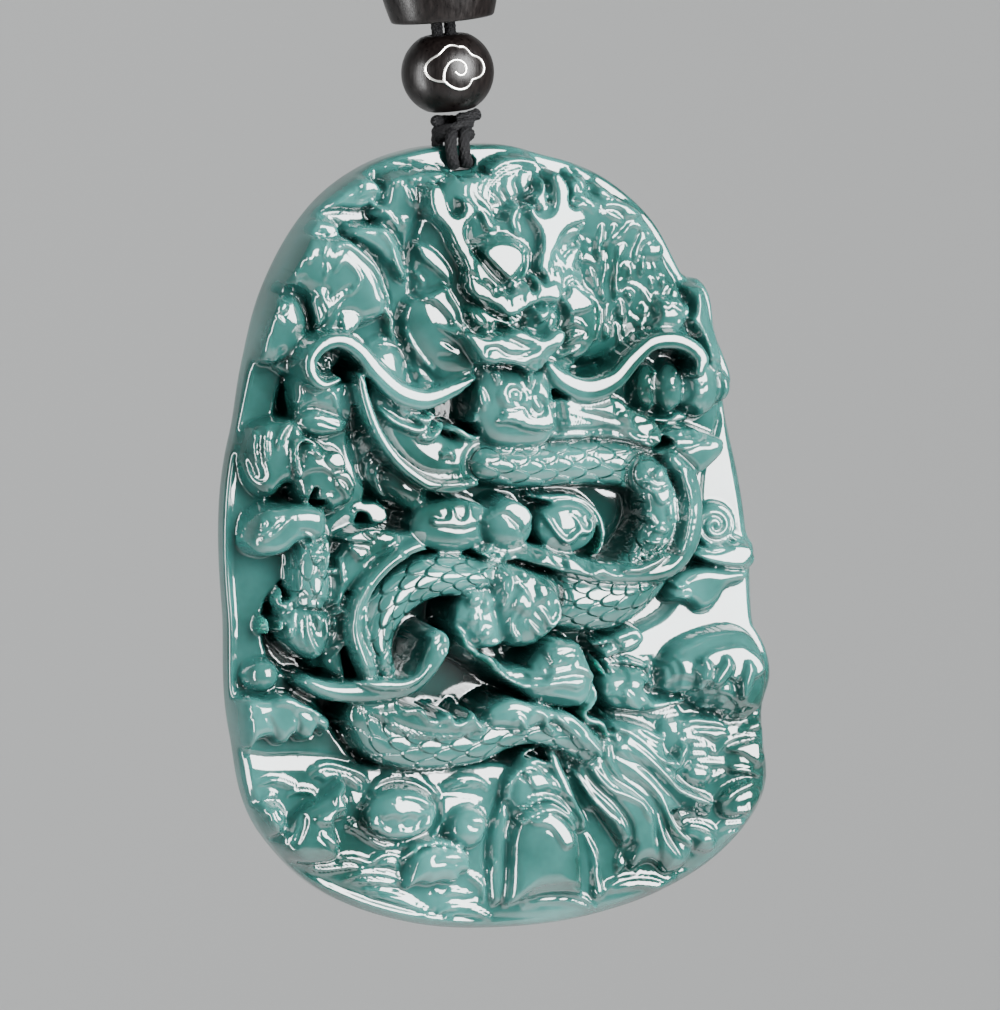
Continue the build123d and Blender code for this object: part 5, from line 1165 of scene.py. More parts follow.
    # mountain: rock flanks, back peak, front peak, each with arcs over its top
    r.patch([(48.6, 84), (49.8, 80), (51.2, 78), (51, 84), (50.6, 90.4), (49.2, 91), (48.6, 88)], 5.4,
            drop=1.2, shoulder=1)
    r.patch([(50.6, 80.4), (50.8, 77.8), (51.8, 75.8), (53.4, 74.9), (55.4, 75), (56.4, 75.8), (57.2, 78),
             (58.4, 81), (59.2, 83), (58, 83.6), (55, 83), (52, 83)], 6.8, drop=1.6, shoulder=1.6,
            lean=(0.05, 0.06))
    threads(r, (
        [(51.4, 75.5), (53, 75), (54.6, 75)], [(52, 76.1), (53.6, 75.7), (55, 76)],
        [(51.4, 77.6), (52.6, 76.6), (54, 76.3), (55.2, 76.8), (56.4, 78.2)],
        [(51, 80.2), (51.1, 78.6), (51.9, 77.5), (53.2, 77), (54.4, 77.3)], [(50.4, 83.2), (50.6, 84.4)],
        [(49.5, 86.4), (49.7, 87.4)],
    ), half=0.22, lift=0.4, full=2)
    plateaus(r, (
        [(52.7, 77.6), (53.6, 77.4), (54.4, 77.5), (55, 78.2), (55.6, 79.2), (56.2, 79.9), (55.4, 79.5),
         (54.2, 79.3), (53.4, 79.2), (53.1, 78.6)],
        [(54.9, 75.3), (55.8, 75.4), (56.4, 76.4), (57, 78), (57.6, 80), (58.4, 81.6), (58.8, 82.4),
         (57.8, 81.8), (56.8, 80.4), (55.9, 78.4), (55.2, 76.8)],
    ), lift=0.35, tilt=-0.1)
    r.patch([(50.9, 84), (51.6, 82), (53, 80.6), (54.8, 79.8), (56.4, 80.6), (57.8, 82.4), (58.6, 85),
             (58.8, 88), (58.8, 90.4), (55.6, 90), (52.4, 90.6), (50.9, 91), (50.8, 87.6)], 7.6, drop=2.2,
            shoulder=2.8, lean=(0.03, 0.05))
    threads(r, (
        [(52.3, 81.3), (53.3, 80.5), (54.6, 80), (55.9, 80.4), (57, 81.4), (57.8, 82.4)],
        [(52.4, 82.6), (53.2, 81.9), (54.4, 81.3), (55.6, 81.2), (56.8, 81.9), (57.9, 83.2)],
    ), half=0.24, lift=0.35, full=2)
    plateaus(r, ([(53.2, 82.5), (54.4, 81.8), (55.2, 81.6), (56.4, 82.3), (57.2, 83.3), (57.6, 84.6),
                  (56.6, 85.1), (56, 84.4), (55.2, 83.2), (54.2, 82.7)],), lift=0.3, tilt=-0.1)
    plateaus(r, ([(58.6, 83.6), (59.2, 84.4), (59.9, 86), (60.1, 88), (60.5, 89.6), (60, 90.2), (59.5, 90),
                  (59.3, 87.6), (58.9, 85.6)],), lift=0.6, tilt=-0.1)
    cuts(r, [[(59, 84.2), (59.4, 86.2), (59.6, 88.2)], [(59.4, 84.8), (59.8, 87), (60.1, 89.2)]], 5.6)
    threads(r, (
        [(52.2, 90.6), (53.6, 90.1), (55.2, 89.9), (57, 89.9), (58.6, 90.3), (59.8, 91.3)],
        [(52.4, 91), (54, 90.5), (55.6, 90.4), (57.4, 90.6), (59.2, 91.3)],
    ), half=0.26, lift=0.4, full=2)


def carve_tail(r):
    """The fan of tail hair that flows down to the right, with the waves beside it."""
    r.patch([(55.8, 74.6), (57.6, 72.4), (59.4, 72.2), (60.8, 76.4), (60.6, 81), (58.8, 81), (57, 78)], 5.8,
            drop=0.5, shoulder=1.2, moat=0)
    r.patch([(66, 72.6), (69, 71.8), (72.6, 72.2), (76.4, 72.2), (76.8, 76), (76.9, 79), (76.6, 81),
             (74.6, 83.6), (71.6, 85.8), (69, 87.4), (66.6, 86), (66.4, 80)], 4.9, drop=0.8, shoulder=1.4,
            moat=0, lean=(0.03, 0.05))
    r.dome(70.2, 77.8, 1.5, 1.1, 5.6, turn=-10, drop=0.5, moat=0.1)
    r.dome(75, 76.4, 2.2, 1.2, 5.8, turn=10, drop=0.6, moat=0.1)
    r.dome(74.4, 80.4, 2.4, 1.6, 6.2, turn=25, drop=0.9, moat=0.1)
    r.dome(70.4, 84.4, 1.9, 1.1, 6, turn=-25, drop=0.9, moat=0.1)
    threads(r, (
        [(68.2, 73), (69, 72.5), (69.6, 72.3), (70.8, 72.4), (72.2, 72.6), (73, 73.1)],
        [(68.2, 74.2), (69.4, 74.1), (70.6, 74.6), (71.4, 75.3), (71.9, 75.7)],
        [(72, 75.6), (72.6, 74.8), (73.4, 74.2), (74.6, 73.9), (76.4, 73.9)],
        [(72.8, 76.6), (73.4, 77.2), (75, 77.4), (76.5, 77.9)],
        [(68.2, 82.8), (69.4, 82.6), (70.6, 82.8), (71.6, 83.4), (72, 83.8)],
        [(72.2, 83.3), (73, 82.9), (74.2, 82.8), (75, 82.8)], [(72.9, 83.9), (73.8, 83.6), (74.4, 83.5)],
    ), half=0.28, lift=0.4, full=2)
    plateaus(r, (
        [(68.4, 73.6), (69.6, 73.3), (71.2, 73.2), (72.8, 73.3), (73.4, 73.8), (72.6, 73.9), (71.9, 74.3),
         (70.8, 73.8), (69.6, 73.7)],
        [(74.2, 73.4), (75.2, 72.8), (76.4, 72.4), (76.4, 73.1), (75.2, 73.4)],
        [(73.1, 75.3), (74.2, 74.8), (75.6, 74.4), (76.4, 74.6), (76.5, 75.8), (76.3, 76.7), (75.4, 76.3),
         (74.4, 75.7)],
        [(69.3, 74.7), (70.4, 74.7), (71.2, 75.2), (70.2, 75.2), (69.4, 75.1)],
        [(69.2, 75.6), (70.6, 75.5), (71.2, 75.9), (69.4, 76)],
        [(69.6, 76.4), (70.8, 76.2), (72.2, 76.3), (72.9, 76.8), (71.4, 76.9), (70, 76.7)],
        [(71, 78.6), (71.6, 77.8), (72.9, 77.3), (72.8, 77.7), (71.8, 78.2)],
        [(72.2, 80.7), (72.8, 80), (73.8, 79.2), (75, 78.6), (76, 78.5), (75.4, 79.1), (74, 79.8),
         (72.9, 80.6)],
        [(73.5, 81.7), (74.2, 81.2), (74.9, 81.2), (75.3, 80.7), (75.6, 81), (75.4, 81.8), (74.8, 81.7)],
        [(67.8, 81.6), (69, 81.5), (70.2, 81.8), (70, 82.1), (68.8, 82.1), (68.2, 82.5)],
        [(70.2, 84.1), (71.2, 83.7), (71.8, 84.4), (71.2, 84.8), (70.4, 84.8)],
    ), tilt=-0.1)
    # the fan: one smooth sheet parted by grooves, with pale bands and lines along the locks
    r.patch([(57.2, 75), (59.4, 72.6), (61.4, 72.2), (64, 72.6), (66.4, 73.8), (67.4, 76), (68.4, 74.6),
             (69.3, 74.8), (69, 76.6), (68.2, 78), (69.8, 79.4), (71.9, 80.6), (71.4, 82), (69, 81.4),
             (67.8, 81.6), (68.4, 83.4), (69.9, 85), (69.2, 87), (67, 87.8), (65.4, 86.6), (63.4, 87.4),
             (62.2, 85), (60, 81.6), (58, 78.6)], 6.9, drop=1.8, shoulder=1.6, lean=(0.03, 0.07))
    cuts(r, [
        [(57.8, 75.6), (59.6, 78.6), (61.8, 80.8), (63.2, 83), (63.6, 86.2)],
        [(59.8, 75.4), (61.4, 77.8), (63.8, 79.5), (65.6, 81.6), (66, 84.2), (66.4, 86.8)],
        [(61.2, 76.2), (62.4, 77.6), (64.6, 79.2), (66.2, 81.4), (67, 83.6), (68.4, 86)],
        [(62.6, 75.4), (65, 77.4), (66.8, 79.4), (68.4, 80.8), (70.6, 81.5)],
        [(63.6, 73.8), (65.4, 75.6), (67, 77.2), (68.2, 77.6)],
    ], 6.6, half=0.45, depth=0.6)
    plateaus(r, (
        [(60.6, 73.4), (61.2, 73.8), (61.6, 74.5), (61.6, 75.5), (62.4, 76), (64, 76.9), (65.4, 78.2),
         (66.6, 79.6), (67.2, 81.4), (68, 83), (69, 84), (69.7, 84.9), (69.1, 84.8), (68, 83.9), (67, 82.5),
         (66.2, 80.8), (65.3, 79.4), (64, 78.1), (62.8, 77.1), (61.6, 76.4), (61.2, 75)],
        [(62.2, 73.8), (63, 74.2), (64.6, 75.2), (66, 76.4), (67.2, 77.8), (68.2, 79), (69.6, 79.6),
         (70.8, 80), (71.8, 80.8), (70.4, 80.7), (69, 80.1), (67.8, 79.3), (66.8, 78.2), (65.4, 76.8),
         (63.8, 75.4), (62.6, 74.6)],
        [(67.9, 76.5), (68.1, 75.4), (68.8, 74.6), (69.2, 74.9), (68.8, 76), (68.2, 76.6)],
        [(63.8, 72.9), (65, 73.1), (66.2, 73.8), (67.2, 74), (66.4, 74.4), (65.2, 74)],
        [(59, 71.9), (60.2, 72.2), (60.9, 72.7), (60.6, 73.2), (59.8, 72.7)],
    ), lift=0.35, tilt=-0.1)
    threads(r, (
        [(61.4, 72.9), (63, 73.4), (64.4, 74.4), (65.6, 75.6), (66.8, 76.5), (67.9, 76.5)],
        [(59.2, 76.8), (60.2, 78.2), (61.4, 79.3), (63, 79.9), (64.4, 80.6), (65, 81.6), (65.4, 82.4)],
        [(57.6, 77.2), (58.6, 79), (59.6, 80.4), (60.8, 81.6), (61.8, 82.4), (62.2, 83.2)],
        [(62.7, 84.8), (62, 86), (61.9, 87)],
    ), half=0.24, lift=0.4, full=2)


def outline_from_solid():
    """Distance from the plaque's middle to its side wall, by angle, read off the solid."""
    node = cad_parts["jade_pendant"]
    points = np.empty(len(node.data.vertices) * 3)
    node.data.vertices.foreach_get("co", points)
    points = points.reshape(-1, 3) / MM - plaque_mid
    depth = back_y - (points[:, 1] + plaque_mid[1])
    wall = points[(depth > side_wall - 0.01) & (depth < side_wall + 0.01)]
    angle = np.arctan2(wall[:, 2], wall[:, 0])
    radius = np.hypot(wall[:, 0], wall[:, 2])
    order = np.argsort(angle)
    return angle[order], radius[order]


def mesh_object(name, vertices, faces, smooth=True):
    """A mesh object at the origin, in metres, from millimetre vertices."""
    mesh = bpy.data.meshes.new(name)
    vertices = np.asarray(vertices, float) * MM
    faces = np.asarray(faces, int)
    mesh.vertices.add(len(vertices))
    mesh.vertices.foreach_set("co", vertices.ravel())
    mesh.loops.add(faces.size)
    mesh.loops.foreach_set("vertex_index", faces.ravel())
    mesh.polygons.add(len(faces))
    mesh.polygons.foreach_set("loop_start", np.arange(0, faces.size, faces.shape[1]))
    mesh.update(calc_edges=True)
    mesh.validate()
    if smooth:
        mesh.shade_smooth()
    obj = bpy.data.objects.new(name, mesh)
    bpy.context.scene.collection.objects.link(obj)
    return obj


def carved_relief():
    """The finished front: every form in its turn, polished, flat where the cord lies, with raised scales."""
    half_x, _, half_z = (plaque_high - plaque_low) / 2 + sheet_margin
    relief = Relief(half_x, half_z)
    for carve in (carve_hollows, tilt_ground, carve_bottom, carve_left, carve_top_left, carve_right,
                  carve_top_right, carve_tail, carve_body, carve_head):
        carve(relief)
    relief.polish(polish_width)
    relief.clear_cord_path()
    relief.height = np.maximum(relief.height, thinnest) + scale_raise * raised_scales(relief.scale_lay)
    return relief


def carved_plaque():
    """The jade plaque as one closed body: carved front, rounded edge, side wall and flat back."""
    relief = carved_relief()
    angles, radii = outline_from_solid()
    # the front's grid: square rings drawn out to the plaque's outline
    k = grid_rings
    a, b = np.meshgrid(np.arange(-k, k + 1), np.arange(-k, k + 1), indexing="ij")
    ring = np.maximum(abs(a), abs(b))
    wide = abs(a) >= abs(b)
    with np.errstate(divide="ignore", invalid="ignore"):
        turn = np.where(
            wide,
            np.pi / 4 * b / a + np.where(a < 0, np.pi, 0),
            np.pi / 2 - np.pi / 4 * a / b + np.where(b < 0, np.pi, 0),
        )
    turn = np.where(ring == 0, 0, turn)
    outer = np.interp(turn, angles, radii, period=2 * np.pi)
    radius = ring / k * outer
    x, z = radius * np.cos(turn), radius * np.sin(turn)
    inset = outer - radius
    # the edge: a bevel over the ground, a rounding over raised forms
    height = relief.at(x, z)
    high = np.clip((np.sin(turn) - top_from) / top_blend, 0, 1)
    chamfer = np.clip(inset / (bevel_width + (bevel_top - bevel_width) * high), 0, 1)
    rounding = np.sqrt(1 - (1 - np.clip(inset / (edge_round + (edge_top - edge_round) * high), 0, 1)) ** 2)
    flat = np.minimum(height, slab)
    height = wall_top + (flat - wall_top) * chamfer + (height - flat) * rounding
    front = np.stack([plaque_mid[0] + x, back_y - height, plaque_mid[2] + z], axis=-1)
    size = 2 * k + 1
    index = np.arange(size * size).reshape(size, size)
    p00, p10, p01, p11 = index[:-1, :-1], index[1:, :-1], index[:-1, 1:], index[1:, 1:]
    rising = (2 * a[:-1, :-1] + 1) * (2 * b[:-1, :-1] + 1) > 0
    first = np.where(rising[..., None], np.stack([p00, p10, p11], -1), np.stack([p00, p10, p01], -1))
    second = np.where(rising[..., None], np.stack([p00, p11, p01], -1), np.stack([p10, p11, p01], -1))
    faces = [first.reshape(-1, 3), second.reshape(-1, 3)]
    vertices = [front.reshape(-1, 3)]
    # side wall and back, ring by ring from the front's edge to the middle of the back
    walk = np.concatenate([index[-1, :-1], index[:0:-1, -1], index[0, :0:-1], index[:-1, 0]])
    walk_turn = turn.ravel()[walk]
    walk_outer = outer.ravel()[walk]
    count = size * size
    previous = walk
    for inset_here, depth in wall_rings:
        r_here = walk_outer - inset_here
        vertices.append(np.stack([
            plaque_mid[0] + r_here * np.cos(walk_turn),
            np.full(len(walk), back_y - depth),
            plaque_mid[2] + r_here * np.sin(walk_turn),
        ], axis=-1))
        here = np.arange(count, count + len(walk))
        count += len(walk)
        n_prev, n_here = np.roll(previous, -1), np.roll(here, -1)
        faces.append(np.stack([previous, here, n_here], -1))
        faces.append(np.stack([previous, n_here, n_prev], -1))
        previous = here
    vertices.append(np.array([[plaque_mid[0], back_y, plaque_mid[2]]]))
    faces.append(np.stack([previous, np.full(len(walk), count), np.roll(previous, -1)], -1))
    carving = mesh_object("jade_carving", np.concatenate(vertices), np.concatenate(faces))
    # what the material reads: how deep a place is cut, for the painted shade in the recesses, and the lay of
    # the scales
    around = relief.softened(shade_surround_width)
    # painted shade: how far a place lies below its blurred surroundings, faded out near the plaque's edge
    cut = np.clip((around.at(x, z) - height) / full_shade_depth, 0, 1) * np.clip(inset / shade_edge_fade, 0, 1)
    depth = np.zeros(len(carving.data.vertices))
    depth[:cut.size] = cut.ravel()
    carving.data.attributes.new("painted_recess_shade", "FLOAT", "POINT").data.foreach_set("value", depth)
    lay = np.zeros((len(depth), 3))
    lay[:cut.size] = np.stack([relief.at(x, z, layer).ravel() for layer in relief.scale_lay], axis=-1)
    carving.data.attributes.new("scale_lay", "FLOAT_VECTOR", "POINT").data.foreach_set("vector", lay.ravel())
    drill_cord_hole(carving)
    return carving


def stack_point(across, front, height):
    """A place beside the leaning hanging line, counted from the middle of the cord's hole."""
    return np.array([
        hole_place[0] + across * math.cos(stack_lean) - height * math.sin(stack_lean),
        -front,
        hole_place[1] + across * math.sin(stack_lean) + height * math.cos(stack_lean),
    ])


def drill_cord_hole(carving):
    """Cuts the cord's slot, round at both ends, through the plaque."""
    turns = np.linspace(-np.pi / 2, np.pi / 2, 13)
    reach = 15
    half_run = (hole_wide - hole_tall) / 2
    rim = [(half_run + hole_tall / 2 * math.cos(t), hole_tall / 2 * math.sin(t)) for t in turns]
    rim += [(-x, -y) for x, y in rim]
    count = len(rim)
    points = [stack_point(x, front, y) for front in (reach, -reach) for x, y in rim]
    points += [stack_point(0, reach, 0), stack_point(0, -reach, 0)]
    faces = []
    for k in range(count):
        n = (k + 1) % count
        faces += [(k, k + count, n), (n, k + count, n + count)]
        faces += [(k, n, 2 * count), (n + count, k + count, 2 * count + 1)]
    cutter = mesh_object("hole_cutter", points, faces, smooth=False)
    upright(cutter)
    cut = carving.modifiers.new("cord hole", "BOOLEAN")
    cut.object = cutter
    cut.operation = "DIFFERENCE"
    cut.solver = "EXACT"
    settle_modifiers(carving)
    bpy.data.objects.remove(cutter)
    # the flat back stays flat shaded, so that the hole leaves no streak on it
    polygons = carving.data.polygons
    polygons.foreach_set("use_smooth", [polygon.normal.y < 0.999 for polygon in polygons])


def upright(obj):
    """Turns a closed mesh's faces outwards."""
    body = bmesh.new()
    body.from_mesh(obj.data)
    bmesh.ops.recalc_face_normals(body, faces=body.faces)
    body.to_mesh(obj.data)
    body.free()


def settle_modifiers(obj):
    """Puts the evaluated mesh in place of the modifiers."""
    graph = bpy.context.evaluated_depsgraph_get()
    settled = bpy.data.meshes.new_from_object(obj.evaluated_get(graph))
    obj.modifiers.clear()
    obj.data = settled


def spline_through(route):
    """Evenly run points, in millimetres, along the smooth curve that a route's points pull."""
    curve = bpy.data.curves.new("route", "CURVE")
    curve.dimensions = "3D"
    line = curve.splines.new("NURBS")
    line.points.add(len(route) - 1)
    for point, place in zip(line.points, route):
        point.co = (*(np.asarray(place, float) * MM), 1.0)
    line.order_u = 3
    line.use_endpoint_u = True
    line.resolution_u = 24
    obj = bpy.data.objects.new("route", curve)
    bpy.context.scene.collection.objects.link(obj)
    graph = bpy.context.evaluated_depsgraph_get()
    mesh = bpy.data.meshes.new_from_object(obj.evaluated_get(graph))
    places = np.array([vertex.co[:] for vertex in mesh.vertices]) / MM
    bpy.data.objects.remove(obj)
    bpy.data.curves.remove(curve)
    bpy.data.meshes.remove(mesh)
    return places


def even_run(places, step):
    """The same line with points a step apart, and the distance run to each."""
    run = np.concatenate([[0], np.cumsum(np.linalg.norm(np.diff(places, axis=0), axis=1))])
    keep = np.concatenate([[True], np.diff(run) > 1e-6])
    places, run = places[keep], run[keep]
    stations = np.linspace(0, run[-1], max(int(run[-1] / step), 2) + 1)
    return np.stack([np.interp(stations, run, places[:, k]) for k in range(3)], axis=-1), stations


def braid_height(around, run):
    """Height of a tubular braid's diamonds, 0 in the grooves to 1 on the yarns."""
    one = around * braid_count / 2 + np.pi * run / braid_pitch
    other = around * braid_count / 2 - np.pi * run / braid_pitch
    return np.abs(np.sin(one) * np.sin(other)) ** 0.6


def cord_shell(places, run):
    """Braided rings round a line, with rounded ends: vertices, triangles and each vertex's lay."""
    tangent = np.gradient(places, axis=0)
    tangent /= np.linalg.norm(tangent, axis=1)[:, None]
    side = np.cross(tangent[0], [0.31, 0.22, 0.93])
    vertices, lay = [], []
    turn = np.linspace(0, 2 * np.pi, cord_sides, endpoint=False)
    length = run[-1]
    for place, along, reach in zip(places, tangent, run):
        side = side - along * np.dot(side, along)
        side /= np.linalg.norm(side)
        other = np.cross(along, side)
        from_end = min(reach, length - reach)
        cap = math.sqrt(max(1 - (1 - min(from_end / (cord_radius * 0.5), 1)) ** 2, 0.0))
        radius = cord_radius * max(cap, 0.05) * (1 - braid_relief * (1 - braid_height(turn, reach)))
        ring = np.cos(turn)[:, None] * side + np.sin(turn)[:, None] * other
        vertices.append(place + radius[:, None] * ring)
        lay.append(np.stack([np.cos(turn), np.sin(turn), np.full(cord_sides, reach)], axis=-1))
    count = len(places)
    index = np.arange(count * cord_sides).reshape(count, cord_sides)
    ahead = np.roll(index, -1, axis=1)
    faces = np.concatenate([
        np.stack([index[:-1], ahead[:-1], ahead[1:]], -1).reshape(-1, 3),
        np.stack([index[:-1], ahead[1:], index[1:]], -1).reshape(-1, 3),
        np.stack([np.full(cord_sides, count * cord_sides), ahead[0], index[0]], -1),
        np.stack([np.full(cord_sides, count * cord_sides + 1), index[-1], ahead[-1]], -1),
    ])
    vertices = np.concatenate([*vertices, places[:1], places[-1:]])
    lay = np.concatenate([*lay, [[1, 0, 0]], [[1, 0, length]]])
    return vertices, faces, lay


def corded(name, routes):
    """One piece made of one or more lengths of cord, each following its own route."""
    vertices, faces, lays, count = [], [], [], 0
    for route in routes:
        places, run = even_run(spline_through(route), cord_step)
        shell, triangles, lay = cord_shell(places, run)
        vertices.append(shell)
        faces.append(triangles + count)
        lays.append(lay)
        count += len(shell)
    obj = mesh_object(name, np.concatenate(vertices), np.concatenate(faces))
    attribute = obj.data.attributes.new("lay", "FLOAT_VECTOR", "POINT")
    attribute.data.foreach_set("vector", np.concatenate(lays).ravel())
    return obj


def knot_routes(bottom, turned=0.0, loose_end=True):
    """A double wrap of cord drawn tight, a strand that crosses it in front, and the sealed loose end."""
    middle, wrap = bottom + knot_height / 2, knot_radius - cord_radius
    coil = [
        stack_point(
            wrap * math.sin(turned + 2 * math.pi * knot_turns * t),
            wrap * math.cos(turned + 2 * math.pi * knot_turns * t),
            middle + (t - 0.5) * (knot_height - 2 * cord_radius),
        )
        for t in np.linspace(0, 1, 22)
    ]
    crossing = [
        stack_point(*place)
        for place in (
            (-0.3, -1.2, bottom + 0.6), (-1.25, -0.5, bottom + 0.6), (-1.5, 0.5, bottom + 0.8),
            (-0.9, 1.45, bottom + 1.1), (0.2, 1.7, bottom + 1.5), (1.15, 1.2, bottom + 1.8),
            (1.4, 0.2, bottom + 1.95), (0.8, -0.9, bottom + 1.95),
        )
    ]
    routes = [coil, crossing]
    if loose_end:
        routes.append([
            stack_point(*place)
            for place in ((0.2, 0.6, bottom + 2.0), (0.9, 1.0, bottom + 2.05), (1.6, 1.0, bottom + 2.2),
                          (2.25, 0.9, bottom + 2.35))
        ])
    return routes


def plaque_cord():
    """The doubled cord that passes through the plaque's hole, and the knot that gathers it."""
    fold = [
        (0.2, 2.9), (1.9, 2.75), (2.95, 2.2), (3.1, 1.2), (2.85, 0.2), (1.6, -0.02),
        (-1.6, -0.02), (-2.85, 0.2), (-3.1, 1.2), (-2.95, 2.2), (-1.9, 2.75), (-0.2, 2.95),
    ]
    routes = [
        [stack_point(side * strand_offset - 0.6 * max(0.0, front - 2.0), front, up) for front, up in fold]
        for side in (-1, 1)
    ]
    return corded("plaque_cord", routes + knot_routes(lower_knot, turned=0.6))


def turned_bead(name, span, radii):
    """A drilled bead: round between its flat ends, with eased edges, turned about the hanging line."""
    bottom, top = span
    widest, end = radii
    middle, half = (bottom + top) / 2, (top - bottom) / 2
    swell = widest - end
    bend = (swell ** 2 + half ** 2) / (2 * swell)
    # eased edges at the bore and at the rim of the flat end, the bulged side, and the bore
    profile = [(bore_radius, -half + 0.12), (bore_radius + 0.04, -half + 0.04), (bore_radius + 0.12, -half)]
    profile += [(end - 0.22, -half), (end - 0.1, -half + 0.015), (end - 0.01, -half + 0.07)]
    for t in np.linspace(-0.97, 0.97, 41):
        profile.append((widest - bend + math.sqrt(bend ** 2 - (t * half) ** 2), t * half))
    profile += [(r, -h) for r, h in reversed(profile[:6])]
    profile += [(bore_radius, t * (half - 0.12)) for t in (0.6, 0.2, -0.2, -0.6)]
    turn = np.linspace(0, 2 * np.pi, bead_segments, endpoint=False)
    vertices = [stack_point(r * math.sin(a), r * math.cos(a), middle + h) for r, h in profile for a in turn]
    index = np.arange(len(profile) * bead_segments).reshape(len(profile), bead_segments)
    ahead, below = np.roll(index, -1, axis=1), np.roll(index, -1, axis=0)
    corner = np.roll(ahead, -1, axis=0)
    triangles = ([index, ahead, corner], [index, corner, below])
    faces = np.concatenate([np.stack(three, -1).reshape(-1, 3) for three in triangles])
    bead = mesh_object(name, vertices, faces)
    upright(bead)
    bead.data.shade_smooth()
    return bead


def bead_front(u, v):
    """The place on the round bead's surface that the photo's view shows at (u, v) of its drawing."""
    middle = stack_point(0, 0, sum(round_bead_span) / 2)
    right, up, toward = view_axes()
    widest, end = round_bead_radii
    half = (round_bead_span[1] - round_bead_span[0]) / 2
    bend = ((widest - end) ** 2 + half ** 2) / (2 * (widest - end))
    axis = stack_point(0, 0, 1) - stack_point(0, 0, 0)
    foot = middle + np.array(right) * u / DRAWN_SCALE - np.array(up) * v / DRAWN_SCALE
    near, far = 0.0, 6.0
    for _ in range(40):
        reach = (near + far) / 2
        offset = foot + np.array(toward) * reach - middle
        height = float(np.clip(np.dot(offset, axis), -half, half))
        radius = np.linalg.norm(offset - axis * np.dot(offset, axis))
        inside = radius < widest - bend + math.sqrt(bend ** 2 - height ** 2)
        near, far = (reach, far) if inside else (near, reach)
    return foot + np.array(toward) * near


def wire_along_line():
    """Geometry Nodes tree: a round wire along the edges of a line; and the keys of its two named inputs."""
    tree = bpy.data.node_groups.new("wire along its line", "GeometryNodeTree")
    tree.interface.new_socket("Geometry", in_out="INPUT", socket_type="NodeSocketGeometry")
    radius = tree.interface.new_socket("Wire radius", in_out="INPUT", socket_type="NodeSocketFloat")
    metal = tree.interface.new_socket("Wire material", in_out="INPUT", socket_type="NodeSocketMaterial")
    tree.interface.new_socket("Geometry", in_out="OUTPUT", socket_type="NodeSocketGeometry")
    given = node(tree, "NodeGroupInput").outputs
    line = node(tree, "GeometryNodeMeshToCurve", [("Mesh", given["Geometry"])])
    ring = node(tree, "GeometryNodeCurvePrimitiveCircle", [
        ("Resolution", wire_sides), ("Radius", given["Wire radius"]),
    ])
    wire = node(tree, "GeometryNodeCurveToMesh", [
        ("Curve", line.outputs["Curve"]), ("Profile Curve", ring.outputs["Curve"]), ("Fill Caps", True),
    ])
    whole = node(tree, "GeometryNodeRealizeInstances", [("Geometry", wire.outputs["Mesh"])])
    clad = node(tree, "GeometryNodeSetMaterial", [
        ("Geometry", whole.outputs["Geometry"]), ("Material", given["Wire material"]),
    ])
    node(tree, "NodeGroupOutput", [("Geometry", clad.outputs["Geometry"])])
    return tree, radius.identifier, metal.identifier


def silver_cloud(material):
    """Silver wire let into the round bead: a lobed cloud and its spiral, drawn from the bead's middle."""
    cloud = [
        (1.2, -2.8), (0.6, -3.0), (0.0, -2.85), (-0.4, -2.4), (-0.8, -1.95), (-1.4, -1.65), (-1.9, -1.2),
        (-2.15, -0.7), (-2.1, -0.2), (-1.75, 0.25), (-1.3, 0.55), (-0.7, 0.7), (-0.15, 0.7), (0.2, 1.05),
        (0.7, 1.35), (1.3, 1.5), (1.85, 1.4), (2.25, 1.1), (2.45, 0.75), (2.55, 0.45), (3.0, 0.35),
        (3.45, 0.1), (3.75, -0.35), (3.75, -0.9), (3.55, -1.45), (3.15, -1.8), (2.6, -1.95), (2.3, -2.2),
        (2.0, -2.6), (1.6, -2.85), (1.2, -2.8),
    ]
    spiral = [
        (-0.2, 0.7), (-0.25, 0.2), (-0.15, -0.4), (0.1, -1.0), (0.5, -1.35), (1.0, -1.5), (1.55, -1.35),
        (1.95, -0.95), (2.0, -0.4), (1.75, 0.0), (1.35, 0.1), (1.0, -0.1), (0.9, -0.3),
    ]
    places, edges = [], []
    for line in (cloud, spiral):
        run, _ = even_run(spline_through([bead_front(u - 0.1, v + 0.35) for u, v in line]), wire_step)
        edges += [(len(places) + k, len(places) + k + 1) for k in range(len(run) - 1)]
        places += [tuple(place * MM) for place in run]
    mesh = bpy.data.meshes.new("silver_cloud")
    mesh.from_pydata(places, edges, [])
    obj = bpy.data.objects.new("silver_cloud", mesh)
    bpy.context.scene.collection.objects.link(obj)
    wire = obj.modifiers.new("wire", "NODES")
    wire.node_group, radius_key, material_key = wire_along_line()
    wire[radius_key] = wire_radius * MM
    wire[material_key] = material
    settle_modifiers(obj)
    return obj


def hanging_loop():
    """The short loop of the same cord, from the upper knot up over the hanging point and back."""
    route = [
        (0.76, 0.0, -15.55), (-0.91, 0.0, -11.21), (-3.17, 0.0, -6.6), (-3.46, 0.0, -2.64),
        (-2.02, 0.0, 0.33), (1.92, 0.0, 0.71), (3.9, 0.0, -1.93), (4.37, 0.0, -5.88),
        (3.03, 0.0, -10.83), (2.22, 0.0, -15.41),
    ]
    loop = corded("loop_cord", [route])
    path, run = even_run(spline_through(route), 0.2)
    return loop


def linear(hex_colour):
    """sRGB hex to the linear values that shaders take."""
    values = [int(hex_colour[i:i + 2], 16) / 255 for i in (1, 3, 5)]
    return [v / 12.92 if v <= 0.04045 else ((v + 0.055) / 1.055) ** 2.4 for v in values] + [1.0]


def node(tree, kind, links=(), **settings):
    """Adds a node with its settings; links are (input, source socket or value)."""
    made = tree.nodes.new(kind)
    for key, value in settings.items():
        setattr(made, key, value)
    for key, source in links:
        if isinstance(source, bpy.types.NodeSocket):
            tree.links.new(source, made.inputs[key])
        else:
            made.inputs[key].default_value = source
    return made


